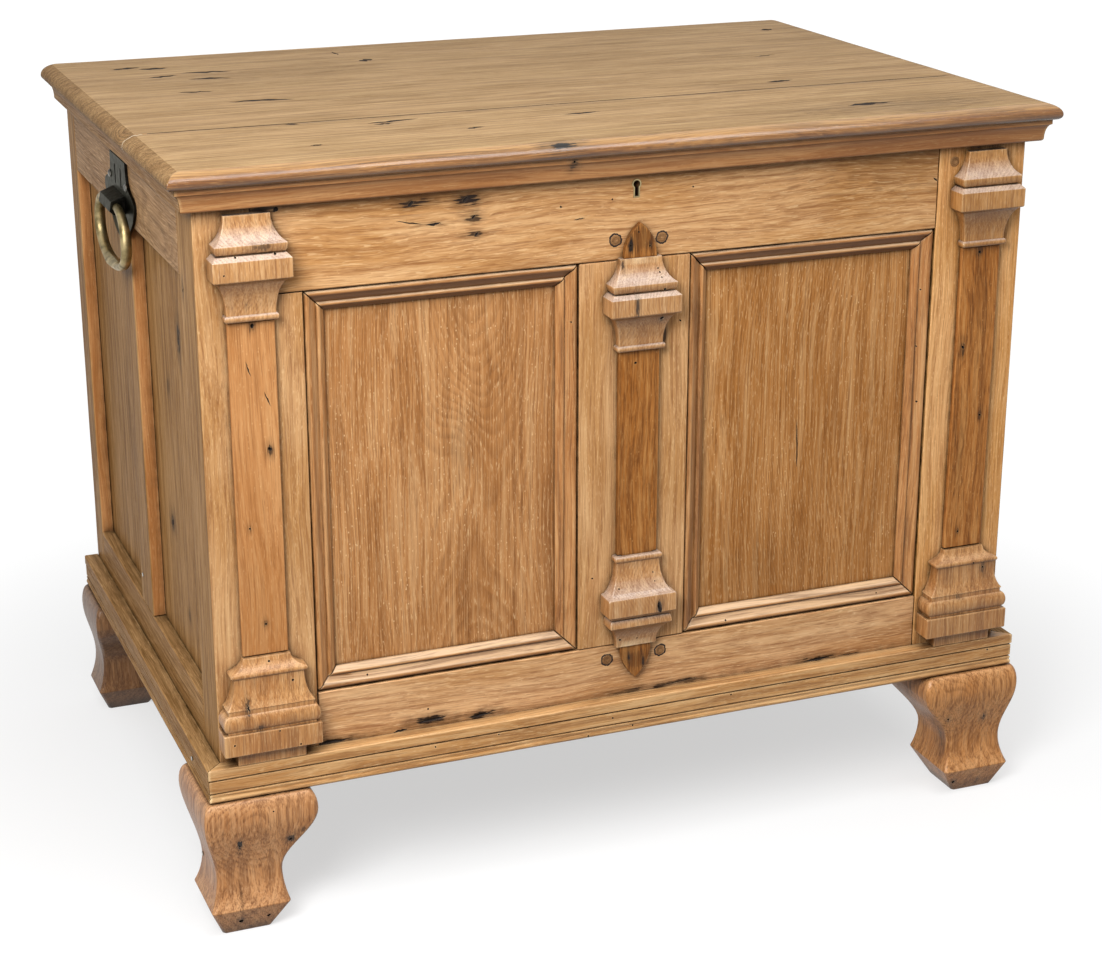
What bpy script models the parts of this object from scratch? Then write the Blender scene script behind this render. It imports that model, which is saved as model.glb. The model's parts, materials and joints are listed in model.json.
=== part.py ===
"""Joined blanket chest: a framed and panelled box on ogee block feet, with a hinged lid and drop rings.

Metres, +Z up. The front faces -Y and the origin is on the floor under the middle of the whole piece.
"""

import math

import bmesh
import bpy
from mathutils import Vector

# Carcase: the framed box between the base moulding and the lid moulding
CARCASE_WIDTH = 0.960
CARCASE_DEPTH = 0.659
SHOWN_HEIGHT = 0.603
FIT = 0.0003  # air between two pieces that touch
ARRIS = 0.0012  # eased edge of a planed board

# Front frame
STILE_WIDTH = 0.111
MUNTIN_WIDTH = 0.130
TOP_RAIL_SHOWN = 0.093
BOTTOM_RAIL_SHOWN = 0.0625
FRAME_THICKNESS = 0.032
PANEL_RECESS = 0.014
PANEL_THICKNESS = 0.010
GROOVE_DEPTH = 0.008
TENON_LENGTH = 0.030
TENON_SHOULDER = 0.016
TENON_ROOT = 0.005  # how far a tenon is rooted in its own rail
RAIL_LAP = 0.052  # how far the top rail is let in across the left stile, behind the capital

# Side frames
POST_DEPTH = 0.068
REAR_POST_DEPTH = 0.043
REAR_POST_WIDTH = 0.060
SIDE_TOP_RAIL_SHOWN = 0.0815
SIDE_BOTTOM_RAIL_SHOWN = 0.046
SIDE_MUNTIN_WIDTH = 0.062
SIDE_THICKNESS = 0.030
SIDE_RECESS = 0.015
SIDE_TENON_LENGTH = 0.022

# Back and bottom
BACK_THICKNESS = 0.020
BACK_TONGUE = 0.008
BACK_TONGUE_THICKNESS = 0.008
BACK_BOARDS = 3
BOTTOM_THICKNESS = 0.018
VEE_DEPTH = 0.0014  # joint line between two glued boards

# Base moulding and feet
BASE_HEIGHT = 0.040
BASE_OVERHANG = 0.018
BASE_BEAD = 0.0070
BASE_BAND = 0.0275  # height of the line under the top band
BASE_QUIRK = 0.0014
FOOT_HEIGHT = 0.164
FOOT_TOE = 0.033
FOOT_WAIST = 0.070
FOOT_BULGE = 0.142
FOOT_ARRIS = 0.003
# Floor, toe, waist, bulge and top: how far a foot stands out past the carcase, and reaches in under it
FOOT_OUTER = (0.008, 0.022, 0.013, 0.026, 0.0185)
FOOT_INNER = (0.047, 0.067, 0.061, 0.101, 0.091)

# Lid
LID_OVERHANG = 0.029
LID_THICKNESS = 0.0185
LID_NOSE = 0.006  # radius under the nose
LID_ROUND = 0.020  # width of the thumbnail round-over
LID_FRONT_BOARD = 0.209
LID_MOULDING_HEIGHT = 0.025
LID_MOULDING_FOOT = 0.0144
LID_MOULDING_CROWN = 0.0205
LID_MOULDING_FILLET = 0.0055
LID_MOULDING_ROUND = 0.003
LID_CLEARANCE = 0.001  # air between the lid moulding and the carcase

# Mouldings round the front panels
PANEL_MOULDING_WIDTH = 0.0240
PANEL_MOULDING_GAP = 0.0007
PANEL_MOULDING_WALL = 0.0088
PANEL_ROLL = 0.0040
PANEL_RIDGE = 0.0028
PANEL_RIDGE_HEIGHT = 0.0064
PANEL_MOULDING_EDGE = 0.0040
MITRE_GAP = 0.0004

# Pilasters
SHAFT_WIDTH = 0.0504
SHAFT_THICKNESS = 0.007
PILASTER_INSET = 0.054  # from the corner of the carcase to the middle of a corner pilaster
NECK_PROJECTION = 0.010  # how far a capital stands out where it is no wider than the shaft
PILASTER_ARRIS = 0.0008
EASE = 0.001  # small rounding of a moulded edge
CAPITAL_TOP_GAP = 0.006  # from the lid moulding down to a corner capital
CAPITAL_BELL = 0.0285  # heights down a capital
CAPITAL_LIP = 0.0095
CAPITAL_NECK = 0.0008
CAPITAL_BLOCK = 0.0265
CAPITAL_COVE = 0.0370
CAPITAL_BEAD = 0.0075
CAPITAL_CHAMFER = 0.0048
BLOCK_ROUND = 0.0022  # rounding under a block
TOP_SPREAD = -0.0008  # how far each stands out past the shaft on both sides
BELL_SPREAD = 0.0126
LIP_UNDERCUT = 0.0030
LIP_SWELL = 0.0012
NECK_SPREAD = 0.0085
BLOCK_SPREAD = 0.0162
COVE_SPREAD = 0.0125
COVE_FOOT_SPREAD = 0.0010
BEAD_SWELL = 0.0026
CENTRE_CAPITAL_SCALE = 0.937  # the centre blocks repeat the corner capital a little shorter and taller
CENTRE_DROP_SCALE = 1.01
CENTRE_CAPITAL_TOP = 0.090  # from the lid moulding down to the centre capital
CENTRE_DROP_FOOT = 0.0625  # from the base moulding up to the lower centre block
CENTRE_SHIFT = 0.0027  # the centre pilaster stands a little right of the middle
CENTRE_SHAFT_WIDTH = 0.048
TONGUE_WIDTH = 0.0384
TONGUE_TOP_HEIGHT = 0.038
TONGUE_FOOT_HEIGHT = 0.041
FOOTING_HEIGHT = 0.0100  # heights up a corner base
FOOTING_FLARE = 0.0055
PLINTH_HEIGHT = 0.0252
TORUS_GAP = 0.0025
TORUS_HEIGHT = 0.0185
BELL_FILLET = 0.0046
BELL_HEIGHT = 0.0340
BASE_LIP_HEIGHT = 0.0065
HIP_HEIGHT = 0.0130
FOOTING_SPREAD = 0.0127
FOOTING_FLARE_SPREAD = 0.0164
PLINTH_SPREAD = 0.0290
TORUS_SPREAD = 0.0238
TORUS_SWELL = 0.0054
FILLET_SPREAD = 0.0218
BELL_FOOT_SPREAD = 0.0230
BELL_NECK_SPREAD = 0.0133
BASE_LIP_SWELL = 0.0040
HIP_SPREAD = 0.0008
BASE_PROJECTION_SCALE = 0.58  # a corner base stands out less than it spreads

# Drop-ring handles
PLATE_THICKNESS = 0.003
PLATE_TOP_GAP = 0.011  # from the lid moulding down to the plate
PLATE_HALF_WIDTH = 0.078
PLATE_TONGUE_HALF = 0.040
PLATE_TAIL = 0.042
SLOT_WIDTH = 0.005
SLOT_HEIGHT = 0.022
SLOT_OFFSET = 0.015
RING_AXIS_DROP = 0.062  # from the lid moulding down to the ring's axis
RING_STAND_OFF = 0.0095  # from the plate out to the ring's axis
RING_WIDTH = 0.145
RING_SHOULDER = 0.034
RING_DROP = 0.070
RING_BAR_RADIUS = 0.0048
RING_BAND_HALF = 0.0064
RING_BAND_THICK = 0.0044
RING_PAD_HALF = 0.0092
RING_PAD_THICK = 0.0066
RING_POINTEDNESS = 0.88  # below 1 is blunter than an ellipse
HOOD_LENGTH = 0.060
HOOD_RISE = 0.013
HOOD_FALL = 0.0085
HOOD_REACH = 0.0175
BORE_CLEARANCE = 0.0004

# Lid hinges
HINGE_LENGTH = 0.075
HINGE_INSET = 0.190  # from the end of the carcase to the middle of a hinge
KNUCKLE_RADIUS = 0.0040
PIN_RADIUS = 0.0018
LEAF_THICKNESS = 0.002
LEAF_HEIGHT = 0.0155
KNUCKLE_GAP = 0.0005

# Chest lock
LOCK_WIDTH = 0.110
LOCK_HEIGHT = 0.078
LOCK_THICKNESS = 0.016
LOCK_TOP_GAP = 0.010  # from the carcase's top edge down to the case
KEYHOLE_DROP = 0.016  # from the lid moulding down to the keyhole
KEYHOLE_HEAD = 0.0042
KEYHOLE_SLOT = 0.0050
KEYHOLE_TAIL = 0.0135
KEYHOLE_DEPTH = 0.010  # in the case
BOLT_LENGTH = 0.050
BOLT_HEIGHT = 0.011
BOLT_THICKNESS = 0.006
BOLT_TRAVEL = 0.014
BOLT_DROP = 0.008  # from the top of the case down to the bolt
STAPLE_LENGTH = 0.014
STAPLE_THICKNESS = 0.004
STAPLE_CLEARANCE = 0.002
STAPLE_LIP = 0.004  # the hook under the bolt
STRIKE_THICKNESS = 0.003
STRIKE_LENGTH = 0.060
STRIKE_WIDTH = 0.014

# Facets
CURVE_STEPS = 6
ROUND_SIDES = 24

# Levels and planes that follow from the sizes above
BASE_BOTTOM = FOOT_HEIGHT + FIT
BASE_TOP = BASE_BOTTOM + BASE_HEIGHT
CARCASE_BOTTOM = BASE_BOTTOM + BOTTOM_THICKNESS + FIT
LID_MOULDING_BOTTOM = BASE_TOP + SHOWN_HEIGHT
CARCASE_TOP = LID_MOULDING_BOTTOM + LID_MOULDING_HEIGHT
LID_BOTTOM = CARCASE_TOP + FIT
HINGE_REACH = FIT + 2 * KNUCKLE_RADIUS
FRONT = LID_OVERHANG - (CARCASE_DEPTH + LID_OVERHANG + HINGE_REACH) / 2
BACK = FRONT + CARCASE_DEPTH
HALF_WIDTH = CARCASE_WIDTH / 2
HALF_MUNTIN = MUNTIN_WIDTH / 2
POST_INNER = HALF_WIDTH - STILE_WIDTH
PANEL_TOP = LID_MOULDING_BOTTOM - TOP_RAIL_SHOWN
PANEL_FOOT = BASE_TOP + BOTTOM_RAIL_SHOWN
SIDE_PANEL_TOP = LID_MOULDING_BOTTOM - SIDE_TOP_RAIL_SHOWN
SIDE_PANEL_FOOT = BASE_TOP + SIDE_BOTTOM_RAIL_SHOWN
SIDE_FRONT = FRONT + POST_DEPTH
SIDE_BACK = BACK - REAR_POST_DEPTH
SIDE_MIDDLE = (SIDE_FRONT + SIDE_BACK) / 2
CAPITAL_HEIGHT = CAPITAL_BELL + CAPITAL_LIP + CAPITAL_NECK + CAPITAL_BLOCK + CAPITAL_COVE + CAPITAL_BEAD
CENTRE_CAPITAL_HEIGHT = CENTRE_CAPITAL_SCALE * CAPITAL_HEIGHT
CENTRE_DROP_HEIGHT = CENTRE_DROP_SCALE * CAPITAL_HEIGHT
HINGE_AXIS = Vector((0, BACK + FIT + KNUCKLE_RADIUS, CARCASE_TOP + FIT / 2))
SIDES = {"left": -1, "right": 1}

for old in list(bpy.data.objects):
    bpy.data.objects.remove(old, do_unlink=True)
CHEST = bpy.data.collections.new("blanket_chest")
CUTTERS = bpy.data.collections.new("cutters")
bpy.context.scene.collection.children.link(CHEST)
bpy.context.scene.collection.children.link(CUTTERS)


def finish(name, colour, roughness, metallic=0.0):
    material = bpy.data.materials.new(name)
    material.use_nodes = True
    shader = material.node_tree.nodes["Principled BSDF"]
    shader.inputs["Base Color"].default_value = (*colour, 1)
    shader.inputs["Roughness"].default_value = roughness
    shader.inputs["Metallic"].default_value = metallic
    return material


FRAME_WOOD = finish("waxed_frame_wood", (0.50, 0.27, 0.11), 0.5)
PANEL_WOOD = finish("waxed_panel_wood", (0.44, 0.24, 0.10), 0.55)
MOULDING_WOOD = finish("waxed_moulding_wood", (0.53, 0.29, 0.12), 0.42)
LID_WOOD = finish("worn_lid_wood", (0.37, 0.24, 0.12), 0.55)
SIDE_WOOD = finish("dusty_side_wood", (0.29, 0.18, 0.09), 0.6)
FOOT_WOOD = finish("waxed_foot_wood", (0.45, 0.27, 0.13), 0.5)
INNER_WOOD = finish("raw_inner_wood", (0.40, 0.28, 0.17), 0.75)
IRON = finish("blackened_iron", (0.05, 0.05, 0.055), 0.45, 1.0)
BRASS = finish("old_brass", (0.36, 0.29, 0.14), 0.35, 1.0)


def pivot(name, place):
    empty = bpy.data.objects.new(name, None)
    empty.location = place
    CHEST.objects.link(empty)
    return empty


BODY = pivot("carcase_origin", (0, 0, 0))
LID = pivot("lid_axis", HINGE_AXIS)


def placed(name, shape, material, parent, place):
    """Turn a bmesh that is drawn round its own origin into a named piece at a place in the world."""
    mesh = bpy.data.meshes.new(name)
    bmesh.ops.recalc_face_normals(shape, faces=shape.faces)
    shape.to_mesh(mesh)
    shape.free()
    piece = bpy.data.objects.new(name, mesh)
    if material is None:
        piece.hide_render = True
        piece.display_type = "WIRE"
        CUTTERS.objects.link(piece)
    else:
        mesh.materials.append(material)
        CHEST.objects.link(piece)
        piece.parent = parent
    piece.location = Vector(place) - (parent.location if parent else Vector())
    return piece


def box_shape(low, high):
    shape = bmesh.new()
    bmesh.ops.create_cube(shape, size=1)
    bmesh.ops.scale(shape, vec=Vector(high) - Vector(low), verts=shape.verts)
    return shape


def board(name, low, high, material, parent=BODY, arris=ARRIS):
    """A planed board between two corners, with its edges eased."""
    piece = placed(name, box_shape(low, high), material, parent, (Vector(low) + Vector(high)) / 2)
    bevel = piece.modifiers.new("eased_edges", "BEVEL")
    bevel.width = arris
    bevel.segments = 1
    return piece


def helper_box(name, low, high):
    return placed(name, box_shape(low, high), None, None, (Vector(low) + Vector(high)) / 2)


def helper_rod(name, centre, radius, length, axis="X"):
    shape = bmesh.new()
    bmesh.ops.create_cone(
        shape, cap_ends=True, segments=ROUND_SIDES, radius1=radius, radius2=radius, depth=length
    )
    rod = placed(name, shape, None, None, centre)
    rod.rotation_euler = {"X": (0, math.pi / 2, 0), "Y": (math.pi / 2, 0, 0)}[axis]
    return rod


def boolean(piece, other, operation):
    modifier = piece.modifiers.new(other.name, "BOOLEAN")
    modifier.operation = operation
    modifier.object = other


def cut(piece, other):
    boolean(piece, other, "DIFFERENCE")


def join(piece, other):
    boolean(piece, other, "UNION")


def tenon(rail, post, low, high):
    """A tenon on the end of a rail, and its mortise in the post."""
    slack = Vector((FIT, FIT, FIT))
    name = f"{rail.name}_to_{post.name}"
    join(rail, helper_box(f"{name}_tenon", low, high))
    cut(post, helper_box(f"{name}_mortise", Vector(low) - slack, Vector(high) + slack))


def panel(name, low, high, thin_axis, frame):
    """A panel that fills an opening and runs into a groove in each piece of the frame round it."""
    into = Vector([0 if axis == thin_axis else GROOVE_DEPTH for axis in range(3)])
    slack = Vector((FIT, FIT, FIT))
    groove = helper_box(f"{name}_groove", Vector(low) - into - slack, Vector(high) + into + slack)
    for piece in frame:
        cut(piece, groove)
    return board(name, Vector(low) - into, Vector(high) + into, PANEL_WOOD)


def loft(name, rings, material, place, parent=BODY, closed=False):
    """Skin a row of rings that have the same number of points, and cap its two ends."""
    shape = bmesh.new()
    rows = [[shape.verts.new(point) for point in ring] for ring in rings]
    following = rows[1:] + rows[:1] if closed else rows[1:]
    for lower, upper in zip(rows, following):
        for here in range(len(lower)):
            there = (here + 1) % len(lower)
            shape.faces.new((lower[here], lower[there], upper[there], upper[here]))
    if not closed:
        shape.faces.new(rows[0])
        shape.faces.new(rows[-1])
    piece = placed(name, shape, material, parent, place)
    piece.data.shade_smooth()
    piece.data.set_sharp_from_angle(angle=math.radians(30))
    return piece


def rectangle(low, high, level, arris, notch=None):
    """A level ring with its corners cut off by the arris, and perhaps a notch (half width, depth) in its back."""
    corners = []
    for x, y, along in ((low[0], low[1], 1), (high[0], low[1], 0), (high[0], high[1], 1), (low[0], high[1], 0)):
        inward_x = arris if x == low[0] else -arris
        inward_y = arris if y == low[1] else -arris
        pair = [Vector((x, y + inward_y, level)), Vector((x + inward_x, y, level))]
        corners += pair if along else pair[::-1]
    if notch:
        half, depth = notch
        walls = ((half, 0), (half, depth), (-half, depth), (-half, 0))
        corners[6:6] = [Vector((x, high[1] - into, level)) for x, into in walls]
    return corners


def strip(name, profile, start, end, outward, up, mitres, material, parent=BODY):
    """A moulding: a profile of (out, up) points run from start to end, with each end mitred by its slope."""
    start, end, outward, up = Vector(start), Vector(end), Vector(outward), Vector(up)
    along = (end - start).normalized()
    middle = (start + end) / 2
    rings = []
    for stop, slope in ((start, -mitres[0]), (end, mitres[1])):
        rings.append([stop - middle + along * slope * out + outward * out + up * rise for out, rise in profile])
    return loft(name, rings, material, middle, parent)


def arc(centre, radii, start, stop, steps=CURVE_STEPS):
    """Points of an elliptic arc between two angles in degrees."""
    points = []
    for step in range(steps + 1):
        angle = math.radians(start + (stop - start) * step / steps)
        points.append((centre[0] + radii[0] * math.cos(angle), centre[1] + radii[1] * math.sin(angle)))
    return points


def posts():
    made = {}
    for side, sign in SIDES.items():
        outer, inner = sign * HALF_WIDTH, sign * POST_INNER
        xs = sorted((outer, inner))
        made[f"front_{side}"] = board(
            f"front_{side}_stile", (xs[0], FRONT, CARCASE_BOTTOM), (xs[1], SIDE_FRONT, CARCASE_TOP), FRAME_WOOD
        )
        xs = sorted((outer, sign * (HALF_WIDTH - REAR_POST_WIDTH)))
        made[f"rear_{side}"] = board(
            f"rear_{side}_post", (xs[0], SIDE_BACK, CARCASE_BOTTOM), (xs[1], BACK, CARCASE_TOP), SIDE_WOOD
        )
    return made


def front_frame(post):
    """Two rails between the front stiles, a muntin between the rails, and the two panels."""
    inner = POST_INNER - FIT
    back = FRONT + FRAME_THICKNESS
    groove = (FRONT + PANEL_RECESS, FRONT + PANEL_RECESS + PANEL_THICKNESS)
    lapped = inner + RAIL_LAP
    top = board("front_top_rail", (-lapped, FRONT, PANEL_TOP), (inner, back, CARCASE_TOP), FRAME_WOOD)
    seat = helper_box(
        "top_rail_seat",
        (-lapped - FIT, FRONT - TENON_ROOT, PANEL_TOP - FIT),
        (-POST_INNER + TENON_ROOT, back + FIT, CARCASE_TOP + TENON_ROOT),
    )
    cut(post["front_left"], seat)
    foot = board("front_bottom_rail", (-inner, FRONT, CARCASE_BOTTOM), (inner, back, PANEL_FOOT), FRAME_WOOD)
    muntin = board(
        "front_muntin",
        (-HALF_MUNTIN, FRONT, PANEL_FOOT + FIT),
        (HALF_MUNTIN, back, PANEL_TOP - FIT),
        FRAME_WOOD,
    )
    for rail, low, high in ((top, PANEL_TOP, CARCASE_TOP), (foot, CARCASE_BOTTOM, PANEL_FOOT)):
        for side, sign in SIDES.items():
            end = lapped if rail is top and side == "left" else inner
            xs = sorted((sign * (end - TENON_ROOT), sign * (end + TENON_LENGTH)))
            tenon(
                rail,
                post[f"front_{side}"],
                (xs[0], groove[0], low + TENON_SHOULDER),
                (xs[1], groove[1], high - TENON_SHOULDER),
            )
    half = HALF_MUNTIN - TENON_SHOULDER
    for rail, root, tip in (
        (top, PANEL_TOP - FIT - TENON_ROOT, PANEL_TOP + TENON_LENGTH),
        (foot, PANEL_FOOT + FIT + TENON_ROOT, PANEL_FOOT - TENON_LENGTH),
    ):
        zs = sorted((root, tip))
        tenon(muntin, rail, (-half, groove[0], zs[0]), (half, groove[1], zs[1]))
    for side, sign in SIDES.items():
        xs = sorted((sign * HALF_MUNTIN, sign * POST_INNER))
        panel(
            f"front_{side}_panel",
            (xs[0], groove[0], PANEL_FOOT),
            (xs[1], groove[1], PANEL_TOP),
            1,
            (top, foot, muntin, post[f"front_{side}"]),
        )
    return top


def side_frame(side, sign, post):
    """Two rails between the posts of one end, a muntin between the rails, and two panels."""
    outer, inner = sign * HALF_WIDTH, sign * (HALF_WIDTH - SIDE_THICKNESS)
    xs = sorted((outer, inner))
    groove = sorted((outer - sign * SIDE_RECESS, outer - sign * (SIDE_RECESS + PANEL_THICKNESS)))
    ends = (SIDE_FRONT + FIT, SIDE_BACK - FIT)
    rails = []
    for name, low, high in (("top", SIDE_PANEL_TOP, CARCASE_TOP), ("bottom", CARCASE_BOTTOM, SIDE_PANEL_FOOT)):
        rail = board(f"{side}_side_{name}_rail", (xs[0], ends[0], low), (xs[1], ends[1], high), SIDE_WOOD)
        rails.append(rail)
        for which, root, tip in (
            ("front", ends[0] + TENON_ROOT, ends[0] - SIDE_TENON_LENGTH),
            ("rear", ends[1] - TENON_ROOT, ends[1] + SIDE_TENON_LENGTH),
        ):
            ys = sorted((root, tip))
            tenon(
                rail,
                post[f"{which}_{side}"],
                (groove[0], ys[0], low + TENON_SHOULDER),
                (groove[1], ys[1], high - TENON_SHOULDER),
            )
    edges = (SIDE_MIDDLE - SIDE_MUNTIN_WIDTH / 2, SIDE_MIDDLE + SIDE_MUNTIN_WIDTH / 2)
    muntin = board(
        f"{side}_side_muntin",
        (xs[0], edges[0], SIDE_PANEL_FOOT + FIT),
        (xs[1], edges[1], SIDE_PANEL_TOP - FIT),
        SIDE_WOOD,
    )
    for rail, root, tip in (
        (rails[0], SIDE_PANEL_TOP - FIT - TENON_ROOT, SIDE_PANEL_TOP + SIDE_TENON_LENGTH),
        (rails[1], SIDE_PANEL_FOOT + FIT + TENON_ROOT, SIDE_PANEL_FOOT - SIDE_TENON_LENGTH),
    ):
        zs = sorted((root, tip))
        low = (groove[0], edges[0] + TENON_SHOULDER, zs[0])
        tenon(muntin, rail, low, (groove[1], edges[1] - TENON_SHOULDER, zs[1]))
    for which, start, stop in (("front", SIDE_FRONT, edges[0]), ("rear", edges[1], SIDE_BACK)):
        panel(
            f"{side}_side_{which}_panel",
            (groove[0], start, SIDE_PANEL_FOOT),
            (groove[1], stop, SIDE_PANEL_TOP),
            0,
            (*rails, muntin, post[f"{which}_{side}"]),
        )


def back_and_bottom(post):
    """Boards tongued between the rear posts, and a bottom board that the whole carcase stands on."""
    half = HALF_WIDTH - REAR_POST_WIDTH - FIT
    back = board(
        "back_boards", (-half, BACK - BACK_THICKNESS, CARCASE_BOTTOM), (half, BACK, CARCASE_TOP), INNER_WOOD
    )
    middle = BACK - BACK_THICKNESS / 2
    ys = (middle - BACK_TONGUE_THICKNESS / 2, middle + BACK_TONGUE_THICKNESS / 2)
    for side, sign in SIDES.items():
        xs = sorted((sign * (half - TENON_ROOT), sign * (half + BACK_TONGUE)))
        low = (xs[0], ys[0], CARCASE_BOTTOM + TENON_SHOULDER)
        tenon(back, post[f"rear_{side}"], low, (xs[1], ys[1], CARCASE_TOP - TENON_SHOULDER))
    for joint in range(1, BACK_BOARDS):
        level = CARCASE_BOTTOM + (CARCASE_TOP - CARCASE_BOTTOM) * joint / BACK_BOARDS
        cut(back, vee(f"back_joint_{joint}", (0, BACK, level), 2 * HALF_WIDTH))
    board(
        "bottom_board",
        (-HALF_WIDTH, FRONT, BASE_BOTTOM),
        (HALF_WIDTH, BACK, BASE_BOTTOM + BOTTOM_THICKNESS),
        INNER_WOOD,
    )


def vee(name, place, length):
    """A bar that stands on its edge along X, to cut the joint line between two glued boards."""
    side = VEE_DEPTH * math.sqrt(2)
    bar = helper_box(name, (-length / 2, -side / 2, -side / 2), (length / 2, side / 2, side / 2))
    bar.location = place
    bar.rotation_euler = (math.pi / 4, 0, 0)
    return bar


def panel_mouldings():
    """Four mitred strips planted on each front panel, just inside the frame's opening."""
    roll_out = PANEL_MOULDING_GAP + PANEL_ROLL
    ridge_out = PANEL_MOULDING_WIDTH - PANEL_RIDGE - PANEL_MOULDING_EDGE
    profile = [(PANEL_MOULDING_GAP, FIT)]
    profile += arc((roll_out, PANEL_MOULDING_WALL), (PANEL_ROLL, PANEL_ROLL), 180, 20)
    profile += arc((ridge_out, PANEL_RIDGE_HEIGHT), (PANEL_RIDGE, PANEL_RIDGE), 170, 20)
    profile += [(PANEL_MOULDING_WIDTH, PANEL_MOULDING_EDGE), (PANEL_MOULDING_WIDTH, FIT)]
    face = FRONT + PANEL_RECESS
    for side, sign in SIDES.items():
        low, high = sorted((sign * HALF_MUNTIN, sign * POST_INNER))
        corners = {
            "top": ((low, PANEL_TOP), (high, PANEL_TOP), (0, 0, -1)),
            "bottom": ((low, PANEL_FOOT), (high, PANEL_FOOT), (0, 0, 1)),
            "left": ((low, PANEL_FOOT), (low, PANEL_TOP), (1, 0, 0)),
            "right": ((high, PANEL_FOOT), (high, PANEL_TOP), (-1, 0, 0)),
        }
        for edge, (start, end, inward) in corners.items():
            lengthwise = Vector((end[0] - start[0], 0, end[1] - start[1])).normalized() * MITRE_GAP
            strip(
                f"{side}_panel_moulding_{edge}",
                profile,
                Vector((start[0], face, start[1])) + lengthwise,
                Vector((end[0], face, end[1])) - lengthwise,
                inward,
                (0, -1, 0),
                (-1, -1),
                MOULDING_WOOD,
            )


def edge_strips(name, profile, level, parent, clearance):
    """A moulding along the front and both ends of the chest, mitred at the front corners."""
    gap = MITRE_GAP / 2
    rear = BACK
    strip(
        f"{name}_front",
        profile,
        (-HALF_WIDTH + gap, FRONT, level),
        (HALF_WIDTH - gap, FRONT, level),
        (0, -1, 0),
        (0, 0, 1),
        (1, 1),
        MOULDING_WOOD,
        parent,
    )
    for side, sign in SIDES.items():
        strip(
            f"{name}_{side}",
            profile,
            (sign * HALF_WIDTH, FRONT + gap, level),
            (sign * HALF_WIDTH, rear - clearance, level),
            (sign, 0, 0),
            (0, 0, 1),
            (1, 0),
            SIDE_WOOD,
            parent,
        )


def base_moulding():
    bead = BASE_BEAD / 2
    face = BASE_OVERHANG
    band = face - BASE_QUIRK / 2
    profile = [(FIT, 0)]
    profile += arc((face - bead, bead), (bead, bead), -90, 40)
    profile += [
        (face - BASE_QUIRK, BASE_BEAD),
        (band, BASE_BEAD + BASE_QUIRK),
        (band, BASE_BEAD + 2.5 * BASE_QUIRK),
        (face - 2 * BASE_QUIRK, BASE_BEAD + 3 * BASE_QUIRK),
        (band, BASE_BEAD + 4 * BASE_QUIRK),
        (band, BASE_BAND - BASE_QUIRK),
        (face - 2 * BASE_QUIRK, BASE_BAND - BASE_QUIRK / 2),
        (face, BASE_BAND + BASE_QUIRK / 2),
        (face, BASE_HEIGHT - ARRIS),
        (face - ARRIS, BASE_HEIGHT),
        (FIT, BASE_HEIGHT),
    ]
    edge_strips("base_moulding", profile, BASE_BOTTOM, BODY, 0)


def foot_reach(reaches, level):
    """How far one face of a foot stands from the carcase's plane at a height above the floor."""
    floor, toe, waist, bulge, top = reaches
    if level <= FOOT_TOE:
        return floor + (toe - floor) * level / FOOT_TOE
    if level <= FOOT_WAIST:
        left = 1 - (level - FOOT_TOE) / (FOOT_WAIST - FOOT_TOE)
        return waist + (toe - waist) * left**2
    if level <= FOOT_BULGE:
        share = (level - FOOT_WAIST) / (FOOT_BULGE - FOOT_WAIST)
        return waist + (bulge - waist) * (1 - math.cos(math.pi * share)) / 2
    share = (level - FOOT_BULGE) / (FOOT_HEIGHT - FOOT_BULGE)
    return top + (bulge - top) * math.sqrt(1 - share**2)


def foot_levels():
    levels = [0]
    for low, high, steps in (
        (FOOT_TOE, FOOT_WAIST, CURVE_STEPS),
        (FOOT_WAIST, FOOT_BULGE, 2 * CURVE_STEPS),
    ):
        levels += [low + (high - low) * step / steps for step in range(steps)]
    rise = FOOT_HEIGHT - FOOT_BULGE
    return levels + [FOOT_BULGE + rise * math.sin(math.pi / 2 * step / CURVE_STEPS) for step in range(CURVE_STEPS + 1)]


def feet():
    """Ogee blocks: a round shoulder, a hollow waist and a sharp toe. The rear ones are flush with the back."""
    for side, sign in SIDES.items():
        for which in ("front", "rear"):
            rings = []
            for level in foot_levels():
                outer, inner = foot_reach(FOOT_OUTER, level), foot_reach(FOOT_INNER, level)
                xs = sorted((sign * (HALF_WIDTH + outer), sign * (HALF_WIDTH - inner)))
                ys = (FRONT - outer, FRONT + inner) if which == "front" else (BACK - inner, BACK)
                rings.append(rectangle((xs[0], ys[0]), (xs[1], ys[1]), level, FOOT_ARRIS))
            corner = Vector((sign * HALF_WIDTH, FRONT if which == "front" else BACK, 0))
            rings = [[point - corner for point in ring] for ring in rings]
            loft(f"{which}_{side}_foot", rings, FOOT_WOOD, corner)


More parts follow.
